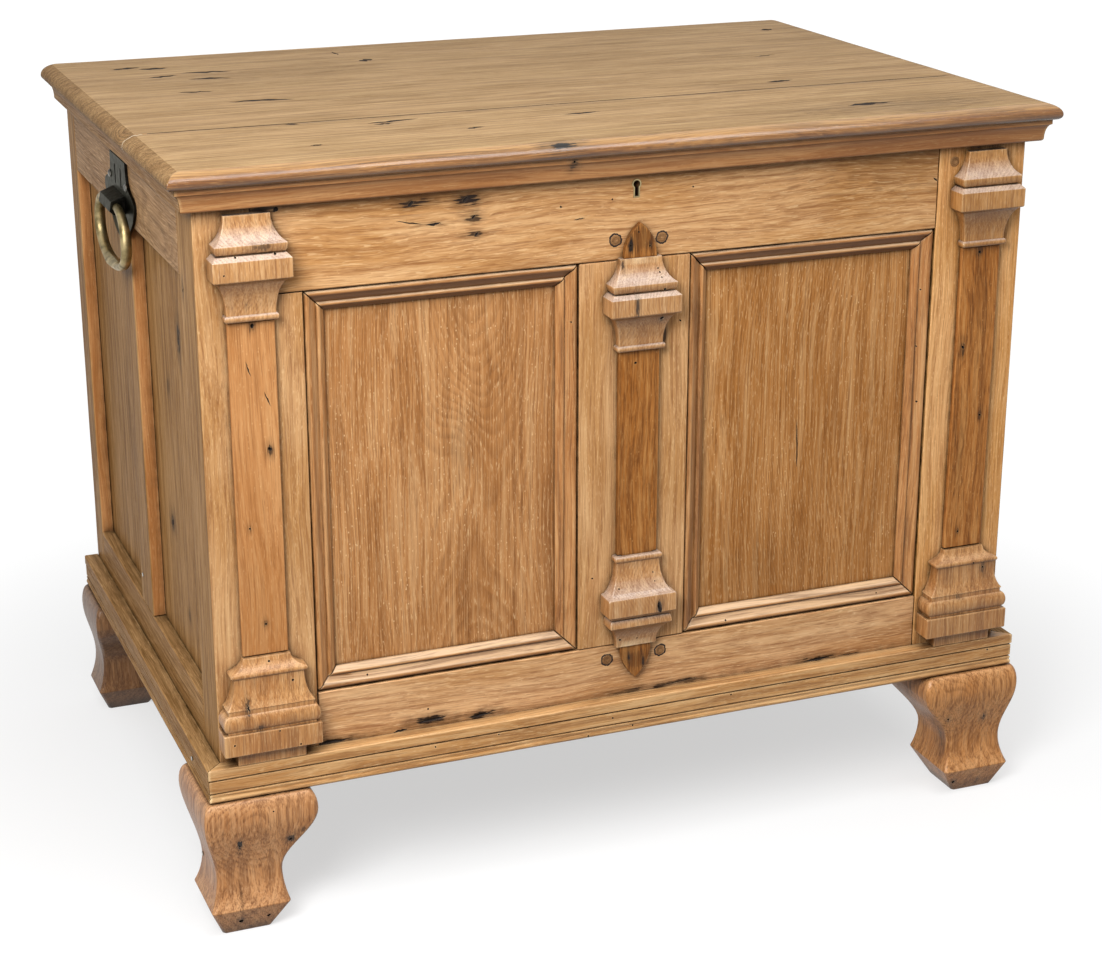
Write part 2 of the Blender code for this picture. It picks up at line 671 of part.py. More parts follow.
def lid():
    """A glued-up top with a thumbnail edge on the front and ends, and a moulding planted under that edge."""
    rise = LID_THICKNESS - LID_NOSE
    levels = arc((LID_NOSE, LID_NOSE), (-LID_NOSE, LID_NOSE), -90, 0)
    levels += arc((LID_ROUND, LID_NOSE), (-LID_ROUND, rise), 0, 90, 2 * CURVE_STEPS)[1:]
    centre = Vector((0, (FRONT + BACK) / 2, LID_BOTTOM))
    reach = HALF_WIDTH + LID_OVERHANG
    rings = []
    for inset, level in levels:
        low = Vector((-reach + inset, FRONT - LID_OVERHANG + inset))
        high = Vector((reach - inset, BACK))
        ring = rectangle(low, high, LID_BOTTOM + level, ARRIS)
        rings.append([point - centre for point in ring])
    top = loft("lid_top", rings, LID_WOOD, centre, LID)
    seam = FRONT - LID_OVERHANG + LID_FRONT_BOARD
    cut(top, vee("lid_joint", (0, seam, LID_BOTTOM + LID_THICKNESS), 2 * reach))
    hollow_rise = LID_MOULDING_HEIGHT - LID_MOULDING_FILLET - LID_MOULDING_ROUND
    flare = LID_MOULDING_CROWN - LID_MOULDING_FOOT
    radius = LID_MOULDING_ROUND
    profile = [(LID_CLEARANCE, 0)]
    profile += arc((LID_MOULDING_FOOT - radius, radius), (radius, radius), -90, 0, 3)
    profile += arc((LID_MOULDING_CROWN, radius), (-flare, hollow_rise), 0, 80)[1:]
    profile += [
        (LID_MOULDING_CROWN, LID_MOULDING_HEIGHT - LID_MOULDING_FILLET),
        (LID_MOULDING_CROWN, LID_MOULDING_HEIGHT),
        (LID_CLEARANCE, LID_MOULDING_HEIGHT),
    ]
    edge_strips("lid_moulding", profile, LID_MOULDING_BOTTOM, LID, 0)


def hollow(start, stop, steps=CURVE_STEPS):
    """Points of a hollow curve between two (level, spread) points, upright at the start."""
    sweep = math.radians(68)
    points = []
    for step in range(steps + 1):
        angle = sweep * step / steps
        level = start[0] + (stop[0] - start[0]) * math.sin(angle) / math.sin(sweep)
        spread = start[1] + (stop[1] - start[1]) * (1 - math.cos(angle)) / (1 - math.cos(sweep))
        points.append((level, spread))
    return points


def swell(start, stop, bulge, steps=CURVE_STEPS):
    """Points of a round between two levels, standing out by its bulge."""
    return [
        (start[0] + (stop[0] - start[0]) * (1 - math.cos(math.pi * step / steps)) / 2,
         start[1] + (stop[1] - start[1]) * step / steps + bulge * math.sin(math.pi * step / steps))
        for step in range(steps + 1)
    ]


def capital_profile(scale=1.0):
    """(level, spread) points down a capital: bell, lip, neck, block, hollow and bead."""
    bell = CAPITAL_BELL
    lip = bell + CAPITAL_LIP
    neck = lip + CAPITAL_NECK
    block = neck + CAPITAL_BLOCK
    cove = block + CAPITAL_COVE
    points = hollow((0, TOP_SPREAD), (bell, BELL_SPREAD))
    points += swell((bell, BELL_SPREAD), (lip, BELL_SPREAD - LIP_UNDERCUT), LIP_SWELL, CURVE_STEPS - 1)[1:]
    points += [(lip, NECK_SPREAD), (neck, NECK_SPREAD)]
    points += [(neck, BLOCK_SPREAD - CAPITAL_CHAMFER), (neck + CAPITAL_CHAMFER, BLOCK_SPREAD)]
    points += [(block - BLOCK_ROUND, BLOCK_SPREAD)]
    points += [(block - 0.3 * BLOCK_ROUND, BLOCK_SPREAD - 0.3 * BLOCK_ROUND), (block, BLOCK_SPREAD - BLOCK_ROUND)]
    points += hollow((cove, COVE_FOOT_SPREAD), (block, COVE_SPREAD))[::-1]
    points += swell((cove, COVE_FOOT_SPREAD), (CAPITAL_HEIGHT, COVE_FOOT_SPREAD), BEAD_SWELL)[1:]
    return [(level * scale, spread) for level, spread in points]


def corner_base_profile():
    """(level, spread) points up a corner base: footing, plinth, torus, bell, lip and sloping hip."""
    flare = FOOTING_HEIGHT + FOOTING_FLARE
    plinth = flare + PLINTH_HEIGHT
    torus = plinth + TORUS_GAP
    fillet = torus + TORUS_HEIGHT
    foot = fillet + BELL_FILLET
    neck = foot + BELL_HEIGHT
    lip = neck + BASE_LIP_HEIGHT
    points = [(0, FOOTING_SPREAD), (FOOTING_HEIGHT, FOOTING_SPREAD), (flare, FOOTING_FLARE_SPREAD)]
    points += [(flare, PLINTH_SPREAD - EASE), (flare + EASE, PLINTH_SPREAD)]
    points += [(plinth - EASE, PLINTH_SPREAD), (plinth, PLINTH_SPREAD - EASE)]
    points += [(plinth, TORUS_SPREAD), (torus, TORUS_SPREAD)]
    points += swell((torus, TORUS_SPREAD), (fillet, FILLET_SPREAD), TORUS_SWELL, 2 * CURVE_STEPS)[1:]
    points += [(foot, FILLET_SPREAD), (foot, BELL_FOOT_SPREAD)]
    points += hollow((neck, BELL_NECK_SPREAD), (foot + EASE, BELL_FOOT_SPREAD))[::-1]
    points += swell((neck, BELL_NECK_SPREAD), (lip, BELL_NECK_SPREAD), BASE_LIP_SWELL)[1:]
    points += hollow((lip + HIP_HEIGHT, HIP_SPREAD), (lip, BELL_NECK_SPREAD), CURVE_STEPS // 2)[-2::-1]
    return points


def pilaster_block(name, x, foot, profile, half, rate=1.0, notch=None):
    """A moulded block planted on the front, its profile returned on both sides."""
    place = Vector((x, FRONT - FIT, foot))
    rings = []
    for level, spread in profile:
        low = (-half - spread, -NECK_PROJECTION - rate * spread)
        rings.append(rectangle(low, (half + spread, 0), level, PILASTER_ARRIS, notch))
    return loft(name, rings, MOULDING_WOOD, place)


def corner_pilasters():
    half = SHAFT_WIDTH / 2
    top = LID_MOULDING_BOTTOM - CAPITAL_TOP_GAP
    capital = [(-level, spread) for level, spread in capital_profile()]
    base = corner_base_profile()
    foot = BASE_TOP + FIT
    for side, sign in SIDES.items():
        x = sign * (HALF_WIDTH - PILASTER_INSET)
        pilaster_block(f"{side}_pilaster_capital", x, top, capital, half)
        pilaster_block(f"{side}_pilaster_base", x, foot, base, half, BASE_PROJECTION_SCALE)
        board(
            f"{side}_pilaster_shaft",
            (x - half, FRONT - FIT - SHAFT_THICKNESS, foot + base[-1][0] + FIT),
            (x + half, FRONT - FIT, top - CAPITAL_HEIGHT - FIT),
            FRAME_WOOD,
        )


def lancet(half, height, steps=CURVE_STEPS):
    """Points of one side of a pointed arch, from its springing up to just before its point."""
    radius = (height**2 + half**2) / (2 * half)
    sweep = math.asin(height / radius)
    return [
        (half - radius + radius * math.cos(sweep * step / steps), radius * math.sin(sweep * step / steps))
        for step in range(steps)
    ]


def centre_pilaster():
    """A strip with a pointed tongue at each end, and a moulded block notched over each tongue."""
    cap_top = LID_MOULDING_BOTTOM - CENTRE_CAPITAL_TOP
    drop_foot = BASE_TOP + CENTRE_DROP_FOOT
    half, tongue = CENTRE_SHAFT_WIDTH / 2, TONGUE_WIDTH / 2
    notch = (tongue + FIT, SHAFT_THICKNESS + FIT)
    capital = [(-level, spread) for level, spread in capital_profile(CENTRE_CAPITAL_SCALE)]
    drop = capital_profile(CENTRE_DROP_SCALE)
    pilaster_block("centre_pilaster_capital", CENTRE_SHIFT, cap_top, capital, SHAFT_WIDTH / 2, 1.0, notch)
    pilaster_block("centre_pilaster_drop", CENTRE_SHIFT, drop_foot, drop, SHAFT_WIDTH / 2, 1.0, notch)
    upper = [(x, cap_top + rise) for x, rise in lancet(tongue, TONGUE_TOP_HEIGHT)]
    lower = [(x, drop_foot - rise) for x, rise in lancet(tongue, TONGUE_FOOT_HEIGHT)]
    shoulders = (drop_foot + CENTRE_DROP_HEIGHT + FIT, cap_top - CENTRE_CAPITAL_HEIGHT - FIT)
    right = [(0, drop_foot - TONGUE_FOOT_HEIGHT)] + lower[::-1]
    right += [(tongue, shoulders[0]), (half, shoulders[0]), (half, shoulders[1]), (tongue, shoulders[1])] + upper
    outline = right + [(0, cap_top + TONGUE_TOP_HEIGHT)] + [(-x, z) for x, z in right[:0:-1]]
    curve = bpy.data.curves.new("centre_pilaster_shaft", "CURVE")
    curve.dimensions = "2D"
    curve.fill_mode = "BOTH"
    curve.extrude = SHAFT_THICKNESS / 2
    spline = curve.splines.new("POLY")
    spline.points.add(len(outline) - 1)
    for point, (x, z) in zip(spline.points, outline):
        point.co = (x, z, 0, 1)
    spline.use_cyclic_u = True
    curve.materials.append(FRAME_WOOD)
    shaft = bpy.data.objects.new("centre_pilaster_shaft", curve)
    CHEST.objects.link(shaft)
    shaft.parent = BODY
    shaft.location = (CENTRE_SHIFT, FRONT - FIT - SHAFT_THICKNESS / 2, 0)
    shaft.rotation_euler = (math.pi / 2, 0, 0)


def plate_outline(top):
    """Half of a handle plate's outline as (half width, height above the ring's axis), from top to tail."""
    lobe, tongue, tail = PLATE_HALF_WIDTH, PLATE_TONGUE_HALF, PLATE_TAIL
    return [
        (tongue, top),
        (tongue * 1.05, top * 0.62),
        (tongue * 1.32, top * 0.42),
        (lobe * 0.92, top * 0.30),
        (lobe, top * 0.12),
        (lobe * 0.93, -tail * 0.12),
        (lobe * 0.80, -tail * 0.36),
        (lobe * 0.60, -tail * 0.62),
        (lobe * 0.40, -tail * 0.86),
        (lobe * 0.16, -tail * 0.98),
    ]


def smooth_through(points, steps=3):
    """Points of a smooth open curve that passes through the given ones."""
    ends = [points[0]] + points + [points[-1]]
    curve = []
    for before, start, stop, after in zip(ends, ends[1:], ends[2:], ends[3:]):
        for step in range(steps):
            t = step / steps
            weights = (
                (-t + 2 * t**2 - t**3) / 2,
                (2 - 5 * t**2 + 3 * t**3) / 2,
                (t + 4 * t**2 - 3 * t**3) / 2,
                (t**3 - t**2) / 2,
            )
            four = (before, start, stop, after)
            curve.append(tuple(sum(w * p[axis] for w, p in zip(weights, four)) for axis in range(2)))
    return curve + [points[-1]]


def ring_path():
    """(across, up, share of band, share of pad) round a drop ring, from its bar to its lowest point and back."""
    half, bar = RING_WIDTH / 2, HOOD_LENGTH / 2 + RING_BAR_RADIUS
    steps = 2 * CURVE_STEPS
    right = [(bar * step / 2, 0, 0, 0) for step in range(2)]
    for step in range(steps // 2):
        angle = math.pi / 2 * step / (steps // 2)
        across = bar + (half - bar) * math.sin(angle)
        right.append((across, -RING_SHOULDER * (1 - math.cos(angle)), step / (steps // 2), 0))
    fall = RING_DROP - RING_SHOULDER
    for step in range(steps + 1):
        angle = math.pi / 2 * step / steps
        across = half * max(math.cos(angle), 0) ** RING_POINTEDNESS
        pad = max(0, 2 * step / steps - 1) ** 2
        right.append((across, -RING_SHOULDER - fall * math.sin(angle) ** RING_POINTEDNESS, 1, pad))
    left = [(-across, up, band, pad) for across, up, band, pad in right[-2:0:-1]]
    return right + left


def handle(side, sign):
    """An iron plate with a hood that holds a brass drop ring, whose bar turns in the hood's bore."""
    face = sign * (HALF_WIDTH + FIT)
    axis = Vector((face + sign * (PLATE_THICKNESS + RING_STAND_OFF), SIDE_MIDDLE, LID_MOULDING_BOTTOM - RING_AXIS_DROP))
    top = RING_AXIS_DROP - PLATE_TOP_GAP
    half = smooth_through(plate_outline(top))
    outline = half + [(0, -PLATE_TAIL)] + [(-across, up) for across, up in half[::-1]]
    back = Vector((face, SIDE_MIDDLE, axis.z))
    rings = [[Vector((sign * out, across, up)) for across, up in outline] for out in (0, PLATE_THICKNESS)]
    plate = loft(f"{side}_handle_plate", rings, IRON, back)
    for place in (-1, 1):
        middle = Vector((face, SIDE_MIDDLE + place * SLOT_OFFSET, axis.z + top - SLOT_HEIGHT))
        reach = Vector((2 * PLATE_THICKNESS, SLOT_WIDTH / 2, SLOT_HEIGHT / 2))
        cut(plate, helper_box(f"{side}_plate_slot_{place}", middle - reach, middle + reach))
    section = [
        (PLATE_THICKNESS / 2, -HOOD_FALL),
        (PLATE_THICKNESS + HOOD_REACH - HOOD_FALL / 2, -HOOD_FALL),
        (PLATE_THICKNESS + HOOD_REACH, -HOOD_FALL / 2),
        (PLATE_THICKNESS + HOOD_REACH - HOOD_FALL / 4, HOOD_RISE / 2),
        (PLATE_THICKNESS / 2, HOOD_RISE),
    ]
    along = Vector((0, HOOD_LENGTH / 2, 0))
    hood = strip(f"{side}_hood", section, back - along, back + along, (sign, 0, 0), (0, 0, 1), (0, 0), IRON)
    CHEST.objects.unlink(hood)
    CUTTERS.objects.link(hood)
    hood.hide_render = True
    hood.display_type = "WIRE"
    join(plate, hood)
    bore = helper_rod(f"{side}_hood_bore", axis, RING_BAR_RADIUS + BORE_CLEARANCE, 2 * HOOD_LENGTH, "Y")
    cut(plate, bore)
    swing = pivot(f"{side}_ring_axis", axis)
    path = ring_path()
    rings = []
    for here, (across, up, band, pad) in enumerate(path):
        before, after = path[here - 1], path[(here + 1) % len(path)]
        way = Vector((0, after[0] - before[0], after[1] - before[1])).normalized()
        normal = Vector((0, -way.z, way.y))
        wide = RING_BAR_RADIUS + band * (RING_BAND_HALF - RING_BAR_RADIUS) + pad * (RING_PAD_HALF - RING_BAND_HALF)
        thick = RING_BAR_RADIUS + band * (RING_BAND_THICK - RING_BAR_RADIUS) + pad * (RING_PAD_THICK - RING_BAND_THICK)
        middle = Vector((0, across, up))
        section = []
        for c, s in arc((0, 0), (1, 1), 0, 330, 11):
            facet = 1 + pad * (1 / (abs(c) + abs(s)) - 1)
            section.append(middle + Vector((wide * facet * c, 0, 0)) + normal * thick * facet * s)
        rings.append(section)
    loft(f"{side}_ring", rings, BRASS, axis, swing, closed=True)


def hinge(side, sign):
    """A butt hinge on the back: two leaves, three knuckles, and a pin fixed in the outer two."""
    middle = sign * (HALF_WIDTH - HINGE_INSET)
    knuckle = HINGE_LENGTH / 3
    clear = KNUCKLE_RADIUS + KNUCKLE_GAP
    ys = (BACK + FIT, BACK + FIT + LEAF_THICKNESS)
    half = HINGE_LENGTH / 2
    inner = knuckle / 2 - KNUCKLE_GAP / 2
    z = HINGE_AXIS.z
    moving = board(
        f"{side}_hinge_lid_leaf",
        (middle - half, ys[0], z + clear),
        (middle + half, ys[1], z + LEAF_HEIGHT),
        IRON,
        LID,
        KNUCKLE_GAP,
    )
    fixed = board(
        f"{side}_hinge_back_leaf",
        (middle - half, ys[0], z - LEAF_HEIGHT),
        (middle + half, ys[1], z - clear),
        IRON,
        BODY,
        KNUCKLE_GAP,
    )
    at = Vector((middle, HINGE_AXIS.y, z))
    join(moving, helper_box(f"{side}_lid_tab", (middle - inner, ys[0], z), (middle + inner, ys[1], z + 2 * clear)))
    join(moving, helper_rod(f"{side}_lid_knuckle", at, KNUCKLE_RADIUS, 2 * inner))
    cut(moving, helper_rod(f"{side}_lid_bore", at, PIN_RADIUS + FIT, HINGE_LENGTH))
    for way in (-1, 1):
        start, stop = sorted((middle + way * (knuckle / 2 + KNUCKLE_GAP / 2), middle + way * half))
        join(fixed, helper_box(f"{side}_back_tab_{way}", (start, ys[0], z - 2 * clear), (stop, ys[1], z)))
        at = Vector(((start + stop) / 2, HINGE_AXIS.y, z))
        join(fixed, helper_rod(f"{side}_back_knuckle_{way}", at, KNUCKLE_RADIUS, stop - start))
    at = Vector((middle, HINGE_AXIS.y, z))
    join(fixed, helper_rod(f"{side}_hinge_pin", at, PIN_RADIUS, HINGE_LENGTH - 2 * KNUCKLE_GAP))


def keyhole(name, start, stop):
    """A round-headed slot, as two cutters that run from one depth to another behind the front."""
    z = LID_MOULDING_BOTTOM - KEYHOLE_DROP
    middle = Vector((0, FRONT + (start + stop) / 2, z))
    head = helper_rod(f"{name}_head", middle + Vector((0, 0, KEYHOLE_HEAD)), KEYHOLE_HEAD, stop - start, "Y")
    low = (-KEYHOLE_SLOT / 2, FRONT + start, z - KEYHOLE_TAIL + KEYHOLE_HEAD)
    slot = helper_box(f"{name}_slot", low, (KEYHOLE_SLOT / 2, FRONT + stop, z + KEYHOLE_HEAD))
    return head, slot


def lock(top_rail):
    """A lock let in behind the top rail. Its bolt slides sideways into the hooked staple of the lid's strike."""
    for cutter in keyhole("rail_keyhole", -FRAME_THICKNESS, 2 * FRAME_THICKNESS):
        cut(top_rail, cutter)
    near = FRAME_THICKNESS + FIT
    ys = (FRONT + near, FRONT + near + LOCK_THICKNESS)
    top = CARCASE_TOP - LOCK_TOP_GAP
    half = LOCK_WIDTH / 2
    case = board("lock_case", (-half, ys[0], top - LOCK_HEIGHT), (half, ys[1], top), IRON)
    for cutter in keyhole("case_keyhole", near - KEYHOLE_DEPTH, near + KEYHOLE_DEPTH):
        cut(case, cutter)
    y = (ys[0] + ys[1]) / 2
    bolt_top = top - BOLT_DROP
    bolt_low = Vector((-BOLT_LENGTH, y - BOLT_THICKNESS / 2, bolt_top - BOLT_HEIGHT))
    bolt_high = Vector((0, y + BOLT_THICKNESS / 2, bolt_top))
    slack = Vector((FIT, FIT, FIT))
    travel = Vector((BOLT_TRAVEL + STAPLE_LENGTH, 0, 0))
    cut(case, helper_box("bolt_channel", bolt_low - slack, bolt_high + slack + travel))
    board("lock_bolt", bolt_low, bolt_high, IRON, BODY, KNUCKLE_GAP)
    staple_start = STAPLE_CLEARANCE
    reach = Vector((STAPLE_LENGTH / 2, STAPLE_THICKNESS / 2, 0))
    centre = Vector((staple_start + STAPLE_LENGTH / 2, y, 0))
    staple_foot = bolt_top - BOLT_HEIGHT - STAPLE_LIP
    room = Vector((STAPLE_CLEARANCE, STAPLE_CLEARANCE, 0))
    mouth_low = centre - reach - room + Vector((0, 0, staple_foot - STAPLE_CLEARANCE))
    mouth_high = centre + reach + room + Vector((0, 0, top + STAPLE_CLEARANCE))
    cut(case, helper_box("staple_mouth", mouth_low, mouth_high))
    strike = board(
        "lock_strike",
        (centre.x - STRIKE_LENGTH / 2, y - STRIKE_WIDTH / 2, CARCASE_TOP - STRIKE_THICKNESS),
        (centre.x + STRIKE_LENGTH / 2, y + STRIKE_WIDTH / 2, CARCASE_TOP),
        IRON,
        LID,
        KNUCKLE_GAP,
    )
    low = centre - reach + Vector((0, 0, staple_foot))
    high = centre + reach + Vector((0, 0, CARCASE_TOP - STRIKE_THICKNESS / 2))
    join(strike, helper_box("staple", low, high))
    eye_low = bolt_low - slack + Vector((BOLT_LENGTH, 0, 0))
    eye_high = bolt_high + slack + Vector((BOLT_TRAVEL, 0, 0))
    cut(strike, helper_box("staple_eye", eye_low, eye_high))


def main():
    post = posts()
    top_rail = front_frame(post)
    for side, sign in SIDES.items():
        side_frame(side, sign, post)
    back_and_bottom(post)
    panel_mouldings()
    base_moulding()
    feet()
    lid()
    corner_pilasters()
    centre_pilaster()
    for side, sign in SIDES.items():
        handle(side, sign)
        hinge(side, sign)
    lock(top_rail)


main()
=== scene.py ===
# %% [markdown]
# # Dressing a joined blanket chest
# The chest is a framed and panelled box of open-grained wood, stripped, limed and waxed. Its solids come packed
# from the part's own model, so this lesson adds only looks: grain, wax, wear, dirt in the corners, small fittings.
# Everything is in metres, in the same frame as the solids, with the front facing -Y.

# %% Load the solids
import json
import math
import random
from collections import Counter
from functools import partial

import bmesh
import bpy
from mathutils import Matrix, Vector, noise

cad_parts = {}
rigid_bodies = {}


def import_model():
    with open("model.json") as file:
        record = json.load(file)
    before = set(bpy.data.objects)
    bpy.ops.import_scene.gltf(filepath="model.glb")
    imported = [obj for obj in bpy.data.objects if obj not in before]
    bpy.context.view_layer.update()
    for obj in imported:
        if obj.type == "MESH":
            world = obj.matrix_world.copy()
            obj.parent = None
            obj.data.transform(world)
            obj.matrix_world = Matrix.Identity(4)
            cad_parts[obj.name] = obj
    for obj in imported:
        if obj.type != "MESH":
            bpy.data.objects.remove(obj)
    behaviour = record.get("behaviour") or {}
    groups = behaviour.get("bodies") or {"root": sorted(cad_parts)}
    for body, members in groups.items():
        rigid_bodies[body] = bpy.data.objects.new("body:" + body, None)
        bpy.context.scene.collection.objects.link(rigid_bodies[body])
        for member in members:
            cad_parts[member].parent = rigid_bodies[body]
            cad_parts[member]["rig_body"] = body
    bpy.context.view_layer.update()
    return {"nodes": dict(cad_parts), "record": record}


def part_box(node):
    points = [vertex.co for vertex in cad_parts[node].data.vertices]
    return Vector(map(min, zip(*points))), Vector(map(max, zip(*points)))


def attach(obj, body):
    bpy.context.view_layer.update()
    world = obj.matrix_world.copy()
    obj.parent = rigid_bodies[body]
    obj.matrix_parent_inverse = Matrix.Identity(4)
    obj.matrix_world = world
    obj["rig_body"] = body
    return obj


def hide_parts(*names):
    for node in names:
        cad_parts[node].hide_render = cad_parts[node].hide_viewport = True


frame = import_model()
nodes = frame["nodes"]
slot_of = {row["node"]: row["material_slot"] for row in frame["record"]["subparts"]}
print("loaded", len(nodes), "solids")

# %% [markdown]
# ## Camera
# The photograph was taken from the front left, above the lid. The lens and place below were solved from the chest's
# straight edges, so the render can be laid over the photograph. The picture's size only sets the lens.

# %% Camera
PICTURE_WIDTH = 1102
FOCAL_PIXELS = 2305.3
SENSOR_MM = 36.0
CAMERA_PLACE = (-0.9746, -2.5192, 1.3209)
CAMERA_TURN = math.radians(21.73)  # to the right of straight ahead
CAMERA_DIP = math.radians(19.66)  # below the horizon

scene = bpy.context.scene
lens = bpy.data.cameras.new("photo_camera")
lens.sensor_width = SENSOR_MM
lens.lens = SENSOR_MM * FOCAL_PIXELS / PICTURE_WIDTH
camera = bpy.data.objects.new("photo_camera", lens)
camera.location = CAMERA_PLACE
camera.rotation_euler = (math.pi / 2 - CAMERA_DIP, 0, -CAMERA_TURN)
scene.collection.objects.link(camera)
scene.camera = camera
scene.view_settings.view_transform = "Standard"
print("lens", round(lens.lens, 1), "mm")

# %% [markdown]
# ## Nodes and colours
# Every finish below is a network of shader nodes. One small function adds a node, sets its properties and fills its
# inputs, and another turns the sRGB hex colours that people write into the linear ones that shaders need. The kinds
# of node and the settings that come back often have short names here.

# %% Node and colour helpers
MATH, VECTOR, RANGE, MIX = "ShaderNodeMath", "ShaderNodeVectorMath", "ShaderNodeMapRange", "ShaderNodeMix"
NOISE, MAPPING, PARTS = "ShaderNodeTexNoise", "ShaderNodeMapping", "ShaderNodeSeparateXYZ"
COORDINATES, GIVEN, OCCLUSION = "ShaderNodeTexCoord", "ShaderNodeAttribute", "ShaderNodeAmbientOcclusion"
SMOOTH = {"interpolation_type": "SMOOTHSTEP"}
COLOURS = {"data_type": "RGBA"}
INSIDE = {"samples": 3, "inside": True, "only_local": True}
PLUS, MINUS, TIMES, OVER, TIMES_PLUS, LARGER, LENGTH = (
    {"operation": word} for word in ("ADD", "SUBTRACT", "MULTIPLY", "DIVIDE", "MULTIPLY_ADD", "MAXIMUM", "LENGTH")
)


def add(tree, kind, inputs=(), settings=None):
    """Add a node, set its properties and fill its inputs, by name from a dict or in order from a tuple.

    An input is given a value, a socket or another node, which stands for that node's first live output.
    """
    made = tree.nodes.new(kind)
    for key, value in (settings or {}).items():
        setattr(made, key, value)
    for key, value in inputs.items() if isinstance(inputs, dict) else enumerate(inputs):
        if isinstance(value, bpy.types.Node):
            value = next(socket for socket in value.outputs if socket.enabled)
        if isinstance(value, bpy.types.NodeSocket):
            tree.links.new(value, made.inputs[key])
        else:
            made.inputs[key].default_value = value
    return made


def linear(hex_colour):
    """Turn an sRGB hex colour into linear RGBA."""
    parts = [int(hex_colour[place : place + 2], 16) / 255 for place in (1, 3, 5)]
    return (*[p / 12.92 if p <= 0.04045 else ((p + 0.055) / 1.055) ** 2.4 for p in parts], 1)


def new_material(name):
    """Start a material and hand over its node tree and its main shader."""
    material = bpy.data.materials.new(name)
    material.use_nodes = True
    tree = material.node_tree
    return material, tree, tree.nodes["Principled BSDF"]


def new_piece(name, shape, *materials):
    """Turn a shape into an object of the scene, with its materials."""
    mesh = bpy.data.meshes.new(name.removeprefix("dressed_"))
    shape.to_mesh(mesh)
    for material in materials:
        mesh.materials.append(material)
    piece = bpy.data.objects.new(name, mesh)
    scene.collection.objects.link(piece)
    return piece


print("half grey in linear light:", round(linear("#808080")[0], 3))

# %% [markdown]
# ## Light and floor
# A studio with a white floor: weak light from all round, a long softbox over the front that puts the pale sheen on
# the lid's nose and on every moulding that leans back, and a key close to the camera that fades toward the right.
# The floor shows white to the camera and still takes the chest's soft shadow.

# %% Light and floor
WORLD_STRENGTH = 0.38
KEY = {"place": (-1.32, -1.66, 1.76), "size": (0.9, 0.9), "watts": 52, "aim": (-0.2, -0.25, 0.5)}
TOP = {"place": (0.1, -1.2, 2.6), "size": (2.4, 1.0), "watts": 34, "aim": (0.0, -0.4, 0.7)}
FLOOR_SIZE = 60.0
FLOOR_GLOW = 1.05
SHADED = (0.5, 1.25)  # metres from the chest's middle where the floor goes from shaded to plain white
SHADED_GLOW = 0.55  # how much of the floor's glow is left close to the chest


def seen_white(tree):
    """Whether a ray comes from the camera or off a shiny surface: those see the studio white."""
    path = add(tree, "ShaderNodeLightPath")
    return add(tree, MATH, (path.outputs["Is Camera Ray"], path.outputs["Is Glossy Ray"]), LARGER)


world = bpy.data.worlds.new("white_studio")
scene.world = world
world.use_nodes = True
tree = world.node_tree
tree.nodes.clear()
strength = add(tree, RANGE, (seen_white(tree), 0.0, 1.0, WORLD_STRENGTH, 1.0))
backdrop = add(tree, "ShaderNodeBackground", {"Strength": strength})
add(tree, "ShaderNodeOutputWorld", {"Surface": backdrop})

for name, light in (("key_softbox", KEY), ("top_softbox", TOP)):
    lamp = bpy.data.lights.new(name, "AREA")
    lamp.shape = "RECTANGLE"
    lamp.size, lamp.size_y = light["size"]
    lamp.energy = light["watts"]
    holder = bpy.data.objects.new(name, lamp)
    holder.location = light["place"]
    direction = Vector(light["aim"]) - Vector(light["place"])
    holder.rotation_euler = direction.to_track_quat("-Z", "Y").to_euler()
    scene.collection.objects.link(holder)

# Matt white paint: no shine of its own, only the chest's soft shadow
floor_paint, tree, shader = new_material("white_floor_paint")
shader.inputs["Roughness"].default_value = 0.9
shader.inputs["Specular IOR Level"].default_value = 0.0
seen = seen_white(tree)
paint = add(tree, MIX, {0: seen, 6: linear("#7a7a7a"), 7: linear("#f4f4f4")}, COLOURS)
tree.links.new(paint.outputs[2], shader.inputs["Base Color"])
texture = add(tree, COORDINATES)
away = add(tree, VECTOR, (texture.outputs["Object"],), LENGTH)
white = add(tree, RANGE, (away.outputs["Value"], *SHADED, SHADED_GLOW, 1.0), SMOOTH)
share = add(tree, MATH, (seen, white), TIMES)
glow = add(tree, "ShaderNodeEmission", {"Strength": FLOOR_GLOW})
blend = add(tree, "ShaderNodeMixShader", (share, shader, glow))
tree.links.new(blend.outputs[0], tree.nodes["Material Output"].inputs["Surface"])
floor_shape = bmesh.new()
bmesh.ops.create_grid(floor_shape, x_segments=2, y_segments=2, size=FLOOR_SIZE / 2)
new_piece("studio_floor", floor_shape, floor_paint)
floor_shape.free()
print("lights and floor in place")
